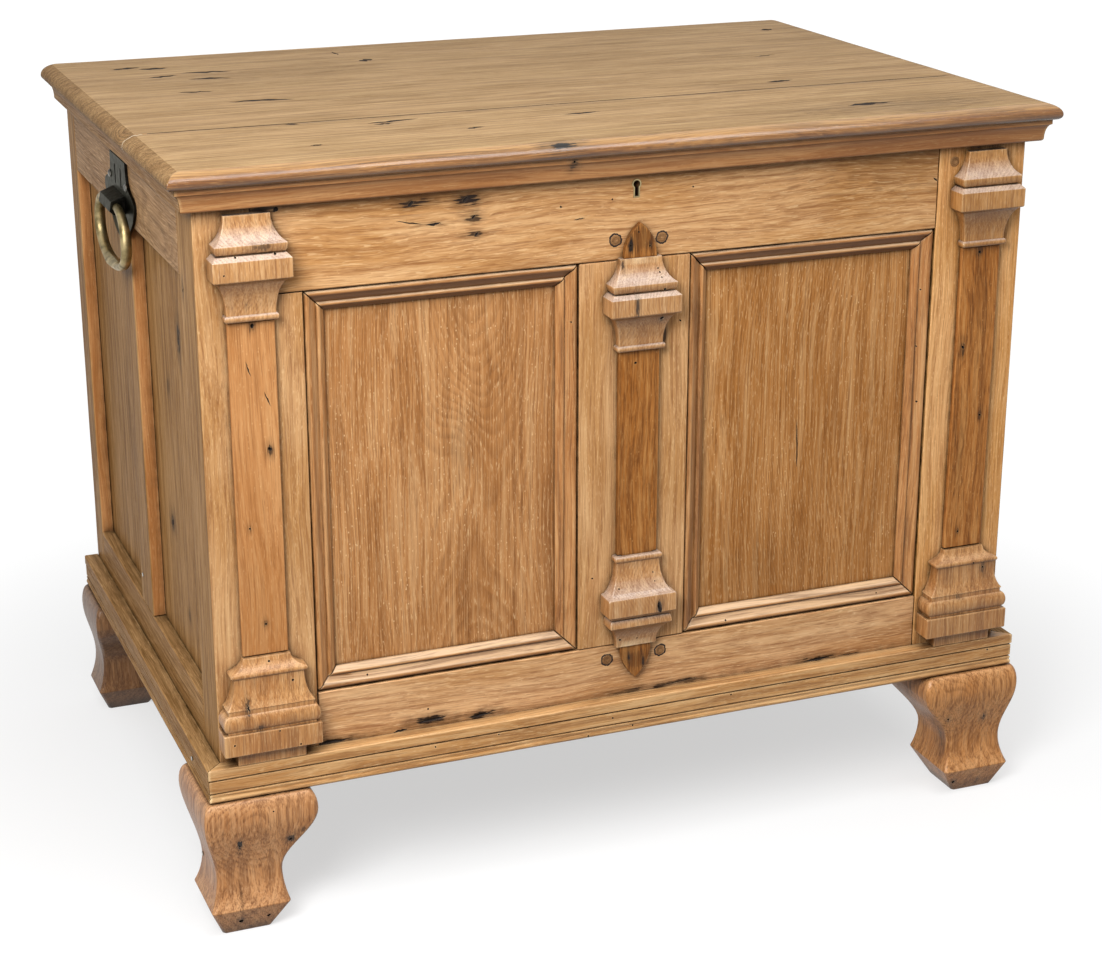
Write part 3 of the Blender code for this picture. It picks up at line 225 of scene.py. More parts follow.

# %% [markdown]
# ## Open-grained wood
# Stripped and limed wood shows growth rings, long soft streaks, fine fibre, and open pores that hold the pale lime.
# A picture wrapped round a board would break at its edges. These are solid patterns, stretched along the grain, so a
# board's face, edge and end grain agree, and one material serves many boards. Each piece carries its own place in
# the log, its tone and up to seven marks (knots and stains) as custom properties, which the shader reads: a knot
# lifts the rings round itself, so the grain flows past it. Dirt and painted shade darken the corners and edges are
# rubbed pale: both come from ambient occlusion, outside and inside the surface. Undersides are darkened with painted
# shade, and faces that look up are paled with dust and a painted top light. Threads and pores are drawn coarser than
# real ones, which would be too fine to show from here.

# %% Wood
TO_MM = 1000.0
ALONG = {"X": (0, 0, 0), "Y": (0, 0, -math.pi / 2), "Z": (0, math.pi / 2, 0)}
MARKS = tuple(f"mark_{number}" for number in range(1, 8))
MARK_PARTS = ("", "_size", "_force")
PROPERTIES = ("board", "tone", "richness", *(mark + part for mark in MARKS for part in MARK_PARTS))
WANDER, RIPPLE = (260, 70), (34, 13)  # how long and wide the log's bends and the fibre's ripples are, in millimetres
STREAK, PATCH = (240, 6.5), (170, 45)  # the same for the soft streaks and for the broad drifts of colour
SPECKS = (8, 5)  # one speck of filler, about 2 mm long, to each patch of this size
EDGE_REACH, CORNER_REACH = 0.0025, 0.02  # how far rubbed edges, and the dirt and painted shade of corners, spread, in metres


def waxed_wood(
    name,
    grain,
    colours,
    ring_mm=4.5,
    rings=0.22,
    streak=0.35,
    fibre=0.45,
    thread=(60.0, 1.2),
    fleck=0.3,
    pore=(9.0, 0.9),
    speck=0.0,
    wander_mm=20.0,
    ripple_mm=0.9,
    end_dark=0.5,
    under=0.0,
    gloss=0.42,
    sheen=0.25,
    dust_and_top_light=0.0,
    lean=(0.9, 0.995),
    wear=0.7,
):
    """A waxed open-grained wood whose grain runs along one axis. Colours: ground, pale, dark, lime, dirt (also painted
    shade), dust (also painted top light).
    """
    material, tree, shader = new_material(name)
    material["grain"] = grain
    node = partial(add, tree)
    ground, pale, dark, lime, dirt_and_shade_tint, dust_and_top_light_tint = (linear(colour) for colour in colours)
    given = {}
    for key in PROPERTIES:
        given[key] = node(GIVEN, settings={"attribute_type": "OBJECT", "attribute_name": key}).outputs
    texture = node(COORDINATES)
    place = node(VECTOR, {0: texture.outputs["Object"], "Scale": TO_MM}, {"operation": "SCALE"})
    in_log = node(VECTOR, (place, given["board"]["Vector"]), PLUS)
    turned = node(MAPPING, {"Vector": in_log, "Rotation": ALONG[grain]})
    # The log wanders, so rings bend along the board, and the fibre ripples
    bent = turned
    for (long, wide), swing in ((WANDER, wander_mm), (RIPPLE, ripple_mm)):
        sway = node(MAPPING, {"Vector": turned, "Scale": (1 / long, 1 / wide, 1 / wide)})
        sway = node(NOISE, {"Vector": sway, "Scale": 1.0, "Detail": 1.0})
        sway = node(VECTOR, (sway.outputs["Color"], (0.5, 0.5, 0.5)), MINUS)
        bent = node(VECTOR, (sway, (0, swing, swing), bent), TIMES_PLUS)
    flat = node(VECTOR, (bent, (0, 1, 1)), TIMES)
    radius = node(VECTOR, (flat,), LENGTH).outputs["Value"]
    # Fine fibre, soft streaks, pores and broad drifts of colour, all along the bent grain
    patterns = []
    for (long, wide), kept in (
        (thread, {"Detail": 3.0, "Roughness": 0.62}),
        (STREAK, {"Detail": 2.0}),
        (pore, {"Detail": 1.0}),
        (PATCH, {"Detail": 3.0}),
    ):
        stretched = node(MAPPING, {"Vector": bent, "Scale": (1 / long, 1 / wide, 1 / wide)})
        patterns.append(node(NOISE, {"Vector": stretched, "Scale": 1.0, **kept}))
    fine, band, pores, broad = patterns
    smudge = node(NOISE, {"Vector": place, "Scale": 1 / 16, "Detail": 4.0})
    ragged = node(MATH, (smudge, 1.8, -2.1), TIMES_PLUS)
    ragged = node(MATH, (fine, 2.4, ragged), TIMES_PLUS)
    # Each mark is an ellipsoid, ragged along the fibre: it lifts the rings, is dark inside and smoky round its edge
    stain = 0.0
    for mark in MARKS:
        centre, size, force = (given[mark + part]["Vector"] for part in MARK_PARTS)
        force = node(PARTS, (force,)).outputs
        away = node(VECTOR, (place, centre), MINUS)
        away = node(VECTOR, (away, size), OVER)
        away = node(VECTOR, (away,), LENGTH).outputs["Value"]
        near = node(RANGE, (away, 0.0, 3.2, 1.0, 0.0), SMOOTH)
        radius = node(MATH, (near, force["Y"], radius), TIMES_PLUS)
        away = node(MATH, (away, ragged), PLUS)
        core = node(RANGE, (away, 0.5, 1.0, 1.0, 0.0), SMOOTH)
        smoke = node(RANGE, (away, 0.6, 2.3, 0.4, 0.0), SMOOTH)
        core = node(MATH, (core, smoke), LARGER)
        stain = node(MATH, (core, force["X"], stain), TIMES_PLUS)
    # Rings swell dark toward the year's end and break up along the fibre
    saw = node(MATH, (radius, ring_mm), OVER)
    saw = node(MATH, (saw,), {"operation": "FRACT"})
    late = node(RANGE, (saw, 0.25, 0.85, 0.0, rings), SMOOTH)
    stop = node(RANGE, (saw, 0.86, 1.0, 1.0, 0.0), SMOOTH)
    broken = node(RANGE, (fine, 0.35, 0.6, 1.4, 0.3))
    late = node(MATH, (late, stop), TIMES)
    late = node(MATH, (late, broken), TIMES)
    # Streaks and fibre are dark on one side of their pattern and pale on the other
    shade = node(RANGE, (band, 0.36, 0.5, streak, 0.0), SMOOTH)
    shine = node(RANGE, (band, 0.5, 0.66, 0.0, 0.6 * streak), SMOOTH)
    threads = node(RANGE, (fine, 0.32, 0.52, fibre, 0.0), SMOOTH)
    gleam = node(RANGE, (fine, 0.52, 0.7, 0.0, 0.6 * fibre), SMOOTH)
    # Lime sits in the pores of the early wood
    early = node(RANGE, (saw, 0.1, 0.6, 1.0, 0.35), SMOOTH)
    pores = node(RANGE, (pores, 0.57, 0.67), SMOOTH)
    limed = node(MATH, (pores, early), TIMES)
    limed = node(MATH, (limed, fleck), TIMES)
    # Specks of filler are denser in patches
    dots = node(MAPPING, {"Vector": turned, "Scale": (1 / SPECKS[0], 1 / SPECKS[1], 1 / SPECKS[1])})
    dots = node("ShaderNodeTexVoronoi", {"Vector": dots, "Scale": 1.0})
    dots = node(RANGE, (dots.outputs["Distance"], 0.06, 0.19, speck, 0.0), SMOOTH)
    patches = node(RANGE, (broad, 0.42, 0.56))
    dots = node(MATH, (dots, patches), TIMES)
    # Dust and a painted top light pale what faces up, under the grain
    facing = node(PARTS, (texture.outputs["Normal"],)).outputs["Z"]
    upward = node(RANGE, (facing, *lean, 0.0, dust_and_top_light), SMOOTH)
    # End grain drinks more wax and dirt, and undersides are darkened with painted shade
    turn = {"Vector": texture.outputs["Normal"], "Rotation": ALONG[grain]}
    ends = node("ShaderNodeVectorRotate", turn, {"rotation_type": "EULER_XYZ"})
    ends = node(PARTS, (ends,)).outputs["X"]
    ends = node(MATH, (ends,), {"operation": "ABSOLUTE"})
    ends = node(RANGE, (ends, 0.35, 1.0, 0.0, end_dark))
    painted_underside_shade = node(RANGE, (facing, -0.75, 0.2, under, 0.0), SMOOTH)
    # Pale rubbed edges, and dirt with painted shade in corners that fades out over a finger's width
    arris = node(OCCLUSION, {"Distance": EDGE_REACH}, INSIDE)
    rubbed = node(RANGE, (arris.outputs["AO"], 0.3, 0.8, 1.0, 0.0), SMOOTH)
    patchy = node(RANGE, (smudge, 0.38, 0.62, 0.15 * wear, wear))
    rubbed = node(MATH, (rubbed, patchy), TIMES)
    corner = node(OCCLUSION, {"Distance": CORNER_REACH}, {"samples": 5})
    dirt_and_shade = node(RANGE, (corner.outputs["AO"], 0.12, 0.95, 1.0, 0.0), SMOOTH)
    streaky = node(RANGE, (smudge, 0.35, 0.6, 1.0, 0.65))
    dirt_and_shade = node(MATH, (dirt_and_shade, streaky), TIMES)
    # All of it is laid over the ground in turn, and the piece's own tone comes last
    drift = node(RANGE, (broad, 0.35, 0.65), SMOOTH)
    colour = node(MIX, {0: drift, 6: ground, 7: pale}, COLOURS)
    for amount, tint in (
        (upward, dust_and_top_light_tint),
        (late, dark),
        (shade, dark),
        (shine, lime),
        (threads, dark),
        (gleam, lime),
        (limed, lime),
        (dots, lime),
        (ends, dark),
        (painted_underside_shade, dark),
        (stain, dirt_and_shade_tint),
        (rubbed, lime),
        (dirt_and_shade, dirt_and_shade_tint),
    ):
        colour = node(MIX, {0: amount, 6: colour, 7: tint}, COLOURS)
    own = {"Color": colour, "Saturation": given["richness"]["Fac"], "Value": given["tone"]["Fac"]}
    colour = node("ShaderNodeHueSaturation", own)
    rough = node(RANGE, (fine, 0.3, 0.7, gloss + 0.12, gloss - 0.04))
    rough = node(MATH, (ends, 0.5, rough), TIMES_PLUS)
    relief = node(MATH, (limed, -0.9, fine), TIMES_PLUS)
    bump = node("ShaderNodeBump", {"Strength": 0.35, "Distance": 0.0004, "Height": relief})
    shader.inputs["Specular IOR Level"].default_value = sheen
    for key, source in (("Base Color", colour), ("Roughness", rough), ("Normal", bump)):
        tree.links.new(source.outputs[0], shader.inputs[key])
    return material


print("each piece brings", len(PROPERTIES), "values for the wood to read")

# %% [markdown]
# ## Colours of the woods
# One chest, but sun, hands, wax and dust have changed its pieces, each in its own way. Each row holds the ground, its
# pale and its dark, the lime in the pores, dirt (also used for painted shade) and dust (also used for a painted top
# light), as they look in even light.

# %% Colours of the woods
HONEY = ("#b98650", "#cb9b69", "#7f4e27", "#e6c08f", "#1e1008", "#b8996f")
PANEL = ("#ac7440", "#bd8550", "#70421c", "#e3bd8c", "#1e1008", "#a98a62")
RUSSET = ("#b07540", "#c08651", "#784720", "#dbb17c", "#22130a", "#a98a62")
TAWNY = ("#9c602b", "#ad7039", "#5f3413", "#cb9a61", "#1a0e06", "#a98a62")
CAPITAL = ("#b27e49", "#c18e58", "#724420", "#e6c79c", "#1e1008", "#c6bab2")
PLINTH = ("#ae7640", "#be8850", "#6a3e1c", "#e6c08e", "#1a0e06", "#dcb78e")
MOULD = ("#a86e39", "#b87f49", "#5e3717", "#e0b682", "#26150a", "#e6c8a4")
BASE = ("#c0894e", "#d19e64", "#784a22", "#eecb98", "#3a2311", "#e0bb88")
COVE = ("#9f6938", "#ad7847", "#70411d", "#cda573", "#1c1007", "#a98a62")
NOSE = ("#7a4a1a", "#8c5c29", "#40240c", "#bc9056", "#120a04", "#c99d66")
NOSE_END = ("#8d6a42", "#9f7c52", "#4e341a", "#c6a678", "#170d06", "#8f7450")
TOP_BOARD = ("#a38156", "#b39065", "#5c4122", "#d6b887", "#140c06", "#96764c")
DUSTY = ("#9b6f3c", "#ae8250", "#5f3f1e", "#d8ae7a", "#1a1007", "#8f7450")
FOOT = ("#b57a47", "#c58c59", "#643819", "#e0b080", "#180d06", "#e0b68c")
RAW = ("#a88860", "#b99a72", "#7c5d3a", "#cdb08a", "#3c2b1a", "#a88c68")
DARK = ("#86582f", "#9c6d40", "#3c2310", "#bf9160", "#120a05", "#7c5230")
print("honey in linear light:", [round(value, 3) for value in linear(HONEY[0])[:3]])

# %% [markdown]
# ## The woods
# All are one open-grained wood, so one function makes them all, and only sizes and amounts differ: the width of a
# year's ring, the strength of streaks, fibre and lime, and how much gloss, dust and wear a piece has.

# %% The woods
WOODS = {
    # Limed and waxed, sawn across the rings: broad honey bands with pale lime in long open pores
    "rail": waxed_wood(
        "limed_oak_rail", "X", HONEY, ring_mm=6.0, rings=0.34, streak=0.3, thread=(32, 1.5), fleck=0.5,
        pore=(15.0, 1.3), speck=0.3, ripple_mm=2.4,
    ),
    # The same wood stood upright, closer in the ring: fine, even lines
    "stile": waxed_wood(
        "limed_oak_stile", "Z", HONEY, ring_mm=3.6, rings=0.3, streak=0.28, fleck=0.45, speck=0.35, pore=(7.0, 0.8)
    ),
    # Limed and hardly waxed: a field of short pale flecks over a warm brown
    "panel": waxed_wood(
        "limed_oak_panel", "Z", PANEL, ring_mm=2.6, rings=0.34, fibre=0.5, thread=(120, 1.1), fleck=0.5, speck=0.75,
        wander_mm=18, ripple_mm=0.6,
    ),
    # Planed and waxed: smooth, reddish and quiet
    "shaft": waxed_wood(
        "waxed_oak_shaft", "Z", RUSSET, rings=0.16, streak=0.24, fibre=0.36, fleck=0.25, ripple_mm=0.8, speck=0.4
    ),
    # Stained by old polish: dark wavy fibre on a tawny ground
    "tawny": waxed_wood(
        "tawny_oak_shaft", "Z", TAWNY, rings=0.38, streak=0.52, fibre=0.55, thread=(26, 1.3), ripple_mm=2.0, speck=0.5
    ),
    # Carved and handled: ledges paled by dust and a painted top light, pale rubbed edges, undersides dark with painted
    # shade
    "capital": waxed_wood(
        "carved_oak_capital", "Z", CAPITAL, ring_mm=3.2, rings=0.32, streak=0.25, fibre=0.4, thread=(20, 1.1),
        fleck=0.3, wander_mm=10, end_dark=0.05, gloss=0.32, under=0.45, sheen=0.5, dust_and_top_light=0.62, lean=(0.12, 0.7),
        wear=0.95,
    ),
    # The same carving near the floor: warmer, with less dust and painted top light, and lighter painted shade
    # underneath
    "plinth": waxed_wood(
        "handled_oak_pilaster_base", "Z", PLINTH, thread=(30, 1.2), fleck=0.3, end_dark=0.05, gloss=0.32, under=0.3,
        sheen=0.45, dust_and_top_light=0.25, lean=(0.15, 0.75), wear=0.95,
    ),
    # Planed to a profile: paled by dust and a painted highlight where it leans back, almost black with painted shade
    # where it looks down
    "bed_x": waxed_wood(
        "waxed_oak_moulding_lengthwise", "X", MOULD, streak=0.45, under=0.92, gloss=0.3, sheen=0.36, dust_and_top_light=0.72,
        lean=(0.1, 0.75), wear=0.95,
    ),
    # Upright lengths of that moulding: streaks and a soft shine from the side
    "bed_z": waxed_wood("waxed_oak_moulding_upright", "Z", MOULD, streak=0.5, gloss=0.32, sheen=0.35, wear=0.95),
    # The lowest moulding, rubbed by feet: straw-coloured, with pale worn edges, dust and painted top light on its tops
    # and painted shade beneath
    "base_x": waxed_wood(
        "waxed_oak_base_moulding", "X", BASE, streak=0.45, fleck=0.4, under=0.3, gloss=0.34, sheen=0.35, dust_and_top_light=0.3,
        lean=(0.1, 0.75), wear=1.0,
    ),
    # Sheltered under the lid: an even brown with little lime, darker with painted shade where it looks down
    "cove": waxed_wood("waxed_oak_lid_cove", "X", COVE, rings=0.15, fleck=0.25, under=0.35, gloss=0.36, sheen=0.4),
    # A worn top with hardly any wax: greyed and matt, with long faint streaks
    "lid": waxed_wood(
        "worn_oak_lid_top", "X", TOP_BOARD, ring_mm=7.0, rings=0.2, streak=0.27, fibre=0.38, thread=(90, 1.6),
        fleck=0.3, gloss=0.5, sheen=0.12, wear=0.1,
    ),
    # The lid's rounded front edge, polished by hands: dark and glossy, paled along its top by dust and a painted top
    # light, and darkened below with painted shade
    "nose": waxed_wood(
        "waxed_oak_lid_nose", "X", NOSE, rings=0.3, end_dark=0.5, under=0.55, gloss=0.17, sheen=0.8, dust_and_top_light=0.7,
        lean=(0.62, 0.97), wear=0.3,
    ),
    # End grain: rings side by side, greyed and matt
    "nose_end": waxed_wood(
        "end_grain_lid_nose", "X", NOSE_END, ring_mm=3.0, rings=0.85, fleck=0.5, ripple_mm=1.6, end_dark=0.05,
        gloss=0.5, sheen=0.06, wear=0.1,
    ),
    # Ends that were never polished: dull brown with long limed pores
    "side_y": waxed_wood(
        "dusty_oak_side_rail", "Y", DUSTY, ring_mm=4.0, rings=0.4, streak=0.25, fleck=0.6, pore=(26.0, 0.9),
        ripple_mm=2.0, sheen=0.03, dust_and_top_light=0.5,
    ),
    # The uprights and panels of those ends: dull and streaked
    "side_z": waxed_wood("dusty_oak_side_upright", "Z", DUSTY, streak=0.42, fleck=0.3, sheen=0.03),
    # Thick blocks: strong rings that swirl, and dust with a painted top light on the shoulders
    "foot": waxed_wood(
        "waxed_oak_foot", "Z", FOOT, ring_mm=5.0, rings=0.4, streak=0.42, fibre=0.52, thread=(30, 1.3), fleck=0.35,
        wander_mm=30, end_dark=0.05, gloss=0.34, sheen=0.35, dust_and_top_light=0.28, lean=(0.05, 0.7),
    ),
    # Driven pegs: small dark discs of end grain
    "peg": waxed_wood("oak_peg_end", "Y", DARK, ring_mm=2.0, rings=0.5, end_dark=0.2),
}
# Bare wood, as inside the chest: pale, dry and rough
for grain, name in (("X", "raw_oak_board"), ("Y", "raw_oak_cross_rail"), ("Z", "raw_oak_upright")):
    WOODS["raw_" + grain.lower()] = waxed_wood(name, grain, RAW, ring_mm=6.0, rings=0.3, fleck=0.2, gloss=0.65)
print("woods", ", ".join(WOODS))

# %% [markdown]
# ## Old dirt
# The inside of a split, a worm hole or a rotten knot is old wood, almost black with dirt. So little light gets in that
# crumbs of two near-black browns are enough.


# %% Old dirt
def crumbly(name, dark, pale, crumb_mm, roughness):
    """A stuff of crumbs between two colours."""
    material, tree, shader = new_material(name)
    node = partial(add, tree)
    texture = node(COORDINATES)
    crumbs = node(NOISE, {"Vector": texture.outputs["Object"], "Scale": TO_MM / crumb_mm})
    shade = node(MIX, {0: crumbs, 6: linear(dark), 7: linear(pale)}, COLOURS)
    tree.links.new(shade.outputs[2], shader.inputs["Base Color"])
    shader.inputs["Roughness"].default_value = roughness
    return material


HOLLOW = crumbly("dirt_filled_split", "#0d0805", "#2a1a0f", 2.5, 0.85)
print("dirt_and_shade_tint", HOLLOW.name)

# %% [markdown]
# ## Metals
# The handle plates, hinges and lock are blackened iron, forged and filed, dull grey where rubbed. The drop rings are
# cast brass, gone olive with age and bright where a hand wears them. Metal is mostly shine, so one noise that dulls
# it in spots, with rubbed edges and corners darkened by dirt and painted shade, both from ambient occlusion, says
# more than a fine pattern would.

# %% Metals
METAL_EDGE_REACH, METAL_CORNER_REACH = 0.002, 0.008  # how far rubbed edges, and the dirt and painted shade of corners, spread, in metres


def old_metal(name, clean, dull, dull_mm, roughness, rubbed, glance="#ffffff"):
    """A metal with dull spots, rubbed edges, corners darkened by dirt and painted shade, and the colour of its
    glancing shine.
    """
    material, tree, shader = new_material(name)
    node = partial(add, tree)
    texture = node(COORDINATES)
    spots = node(NOISE, {"Vector": texture.outputs["Object"], "Scale": TO_MM / dull_mm, "Detail": 4.0})
    arris = node(OCCLUSION, {"Distance": METAL_EDGE_REACH}, INSIDE)
    edge = node(RANGE, (arris.outputs["AO"], 0.35, 0.8, rubbed, 0.0))
    cover = node(RANGE, (spots, 0.38, 0.68))
    corner = node(OCCLUSION, {"Distance": METAL_CORNER_REACH}, {"samples": 3})
    dirt_and_shade = node(RANGE, (corner.outputs["AO"], 0.2, 0.75, 0.85, 0.0))
    colour = linear(dull)
    # the last tint darkens corners with dirt and painted shade
    for amount, tint in ((cover, clean), (edge, clean), (dirt_and_shade, "#15110c")):
        colour = node(MIX, {0: amount, 6: colour, 7: linear(tint)}, COLOURS)
    rough = node(RANGE, (spots, 0.0, 1.0, roughness + 0.15, roughness - 0.1))
    bump = node("ShaderNodeBump", {"Strength": 0.25, "Distance": 0.0005, "Height": spots})
    shader.inputs["Metallic"].default_value = 1.0
    shader.inputs["Specular Tint"].default_value = linear(glance)
    tree.links.new(colour.outputs[2], shader.inputs["Base Color"])
    tree.links.new(rough.outputs[0], shader.inputs["Roughness"])
    tree.links.new(bump.outputs[0], shader.inputs["Normal"])
    return material


# Forged and blackened: near black, grey where rubbed
IRON = old_metal("blackened_iron", "#302f2b", "#0d0c0a", 7.0, 0.36, 1.0, glance="#d4d3cc")
# Rivet heads that knuckles have rubbed: bright grey, dark round the foot with dirt and painted shade
RUBBED = old_metal("rubbed_rivet_iron", "#8d8a82", "#2c2a26", 3.0, 0.3, 0.9)
# Cast and gone olive: a soft yellow shine where it is handled
BRASS = old_metal("old_brass", "#c0ac80", "#746746", 14.0, 0.4, 0.5)
# New nails in old wood: small bright dots
STEEL = old_metal("bright_nail_steel", "#c9c7c0", "#8d8a82", 3.0, 0.35, 0.4)
print("metals", IRON.name, RUBBED.name, BRASS.name, STEEL.name)

# %% [markdown]
# ## Which wood goes where
# Grain follows the joinery: rails run along X, uprights along Z, the ends' rails along Y. A board's place in the log
# is drawn once for each board, from its name, with the pith a little behind it.

# %% Choose the woods
WOOD_OF = (  # the first row with a word that is in a piece's name gives its wood
    ("lid", "lid_top"),
    ("cove", "lid_moulding_front"),
    ("tawny", "centre_pilaster_shaft right_pilaster_shaft"),
    ("side_y", "lid_moulding base_moulding_left base_moulding_right side_top_rail side_bottom_rail"),
    ("side_z", "post side_muntin side_front_panel side_rear_panel"),
    ("rail", "front_top_rail front_bottom_rail"),
    ("stile", "stile front_muntin"),
    ("base_x", "base_moulding_front"),
    ("raw_x", "back_boards bottom_board"),
    ("bed_x", "moulding_top moulding_bottom"),
    ("bed_z", "moulding_left moulding_right"),
    ("panel", "panel"),
    ("shaft", "shaft"),
    ("capital", "capital drop"),
    ("plinth", "pilaster_base"),
    ("foot", "foot"),
)
TONES = {  # how light and how rich in colour a piece is beside its neighbours
    "front_right_panel": (0.93, 1.04), "front_right_stile": (1.34, 1.03), "front_bottom_rail": (1.12, 0.96),
    "left_side_top_rail": (1.1, 0.9), "right_side_top_rail": (1.1, 0.9), "centre_pilaster_shaft": (0.93, 1.03),
    "right_pilaster_shaft": (1.08, 1.02), "right_pilaster_capital": (0.92, 1.05), "front_right_foot": (1.05, 1.05),
    "rear_left_foot": (0.42, 1.0), "rear_right_foot": (0.5, 1.0),
}
LOG_SPREAD, PITH = 40, 70  # how much a board's place in the log varies and how far off the pith lies, in millimetres
TONE_SPREAD = (0.97, 1.03)  # how much the tone of like boards varies


def finish_of(name):
    """A piece's wood, by its name, or its metal."""
    for wood, words in WOOD_OF:
        if any(word in name for word in words.split()):
            return WOODS[wood]
    return BRASS if name.endswith("ring") else IRON


def place_in_log(piece, name):
    """Give a piece its own place in the log, in millimetres, its own tone and richness."""
    draw = random.Random(name)
    low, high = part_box(name)
    middle = (low + high) / 2
    piece["board"] = [
        draw.uniform(-LOG_SPREAD, LOG_SPREAD) - TO_MM * value + draw.choice((-PITH, PITH)) for value in middle
    ]
    tone, richness = TONES.get(name, (1.0, 1.0))
    piece["tone"] = tone * draw.uniform(*TONE_SPREAD)
    piece["richness"] = richness


for name, piece in nodes.items():
    piece.data.materials.clear()
    piece.data.materials.append(finish_of(name))
    place_in_log(piece, name)
print("dressed", len(nodes), "solids")

# %% [markdown]
# ## Knots and stains
# The knots, burns and ink-like streaks that the photograph shows. Each is a place and a half size in millimetres,
# then how dark its middle is and how far it lifts the rings. They could be painted on, but as values for the wood's
# shader they reach through the board and turn the grain round them.

# %% Knots and stains
FRONT = -319  # the face of the front frame
STAINS = {
    "front_top_rail": (
        ((-247, FRONT, 795.5), (17, 30, 4.5), 0.95, 7), ((-189, FRONT, 793.5), (13, 30, 6.5), 1.0, 8),
        ((-184, FRONT, 774.5), (10, 30, 4), 0.9, 6), ((-182, FRONT, 757), (10, 30, 3.5), 0.9, 6),
        ((-408, FRONT, 803), (26, 30, 5), 0.85, 0), ((-230, FRONT, 772), (14, 30, 3), 0.5, 0),
        ((330, FRONT, 790), (110, 30, 36), 0.2, 0),
    ),
    "lid_top": (
        ((-95, -342, 848), (19, 8, 8), 1.0, 5), ((-330, 165, 851), (90, 40, 30), 0.12, 6),
        ((140, -342, 848), (70, 14, 20), 0.0, 26), ((330, -290, 851), (130, 40, 10), 0.3, 0),
    ),
    "front_bottom_rail": (
        ((-355, FRONT, 206), (27, 30, 5), 1.0, 6), ((-238, FRONT, 212), (24, 30, 5.5), 1.0, 8),
        ((-182, FRONT, 208), (18, 30, 5), 1.0, 6), ((240, FRONT, 206), (22, 30, 4.5), 1.0, 6),
        ((58, FRONT, 207), (36, 30, 4), 0.75, 6), ((-2, FRONT, 206), (22, 30, 4), 0.7, 4),
        ((180, FRONT, 236), (90, 30, 12), 0.0, 34),
    ),
    "centre_pilaster_capital": (
        ((-8.5, -345, 668), (2.6, 12, 13), 0.95, 0), ((-19.5, -330, 711), (2.2, 14, 6), 0.9, 0),
        ((2, -335, 640), (16, 20, 9), 0.06, 14), ((24, -338, 650), (3.5, 12, 4), 0.8, 0),
    ),
    "centre_pilaster_drop": (
        ((23.5, -346, 317), (3.5, 10, 8), 0.95, 0), ((2.5, -335, 345), (14, 20, 10), 0.0, 12),
    ),
    "centre_pilaster_shaft": (
        ((4, -326, 737), (22, 9, 15), 0.42, 4), ((4, -326, 248), (22, 9, 15), 0.38, 4),
        ((-9, -326, 731), (2.4, 9, 6.5), 1.0, 2), ((13, -326, 729), (1.8, 9, 4), 1.0, 2),
        ((-5.4, -326, 255), (2.0, 9, 9), 0.8, 0), ((12, -326, 246), (1.8, 9, 8), 0.8, 0),
    ),
    "left_pilaster_capital": (
        ((-416, -343, 770), (11, 14, 3.5), 0.7, 0), ((-400, -331, 790), (3.5, 12, 9), 0.4, 0),
        ((-424, -335, 715), (14, 20, 8), 0.0, 10), ((-431, -340, 709), (3, 12, 5), 0.45, 0),
    ),
    "left_pilaster_base": (
        ((-452, -342, 272), (3, 18, 11), 0.8, 0), ((-440, -346, 249), (4.5, 14, 4), 0.75, 0),
    ),
    "left_pilaster_shaft": (
        ((-425, -326, 686), (4, 9, 6), 0.6, 2), ((-412, -326, 553), (3.6, 9, 8), 0.9, 2),
        ((-437, -326, 469), (3, 9, 5), 0.6, 2), ((-424.5, -326, 360), (3.2, 9, 5), 0.6, 2),
    ),
    "right_pilaster_shaft": (
        ((424, -326, 684), (4, 9, 6), 0.6, 2), ((418, -326, 345), (3, 9, 5), 0.6, 2),
        ((409.6, -326, 572), (3.5, 9, 9), 0.8, 6), ((438, -326, 487), (2.6, 9, 7), 0.7, 4),
        ((430, -326, 620), (12, 9, 50), 0.2, 12), ((414, -326, 430), (10, 9, 40), 0.2, 10),
    ),
    "front_left_stile": (((-480, -264.8, 713), (14, 5, 10), 0.8, 3),),
    "front_left_foot": (
        ((-471, -344, 120), (18, 30, 22), 0.12, 28), ((-468, -341, 112), (2.6, 30, 8), 0.95, 0),
        ((-411, -340, 109), (5, 30, 5), 0.9, 7), ((-397, -343, 118), (4.5, 30, 4.5), 0.65, 6),
        ((-469, -334, 17), (4.5, 30, 4.5), 0.8, 2), ((-468, -338, 45), (2.5, 30, 14), 0.35, 0),
    ),
    "front_muntin": (((34.5, FRONT, 626), (3, 30, 12), 0.85, 0),),
    "left_side_front_panel": (
        ((-465, -160, 633), (30, 9, 22), 1.0, 3), ((-465, -78, 393), (30, 12, 13), 0.85, 12),
        ((-465, -95, 560), (30, 9, 12), 0.5, 9), ((-465, -140, 300), (30, 8, 9), 0.5, 8),
    ),
    "left_side_top_rail": (((-480, -150, 738), (30, 60, 16), 0.0, 30),),
    "lid_moulding_front": (((-79, -339, 826), (6, 12, 8), 0.85, 4),),
    "front_right_panel": (((212, -305, 520), (40, 20, 120), 0.0, 46), ((150, -305, 320), (60, 20, 40), 0.12, 0)),
    "front_left_panel": (((-190, -305, 420), (36, 20, 110), 0.0, 34), ((-200, -305, 520), (16, 20, 30), 0.14, 8)),
    "front_right_foot": (
        ((440, -343, 112), (16, 30, 22), 0.1, 22), ((412, -316, 70), (8, 11, 19), 0.95, 0),
        ((414, -340, 105), (3.5, 30, 5), 0.75, 3), ((465, -340, 100), (3.5, 30, 6), 0.85, 3),
        ((430, -334, 15), (4, 30, 4), 0.8, 2), ((465, -334, 13), (3, 30, 3), 0.6, 2),
    ),
    "right_pilaster_base": (((449, -337, 299), (4, 20, 8), 0.7, 0), ((415, -346, 268), (5, 14, 4), 0.6, 0)),
}


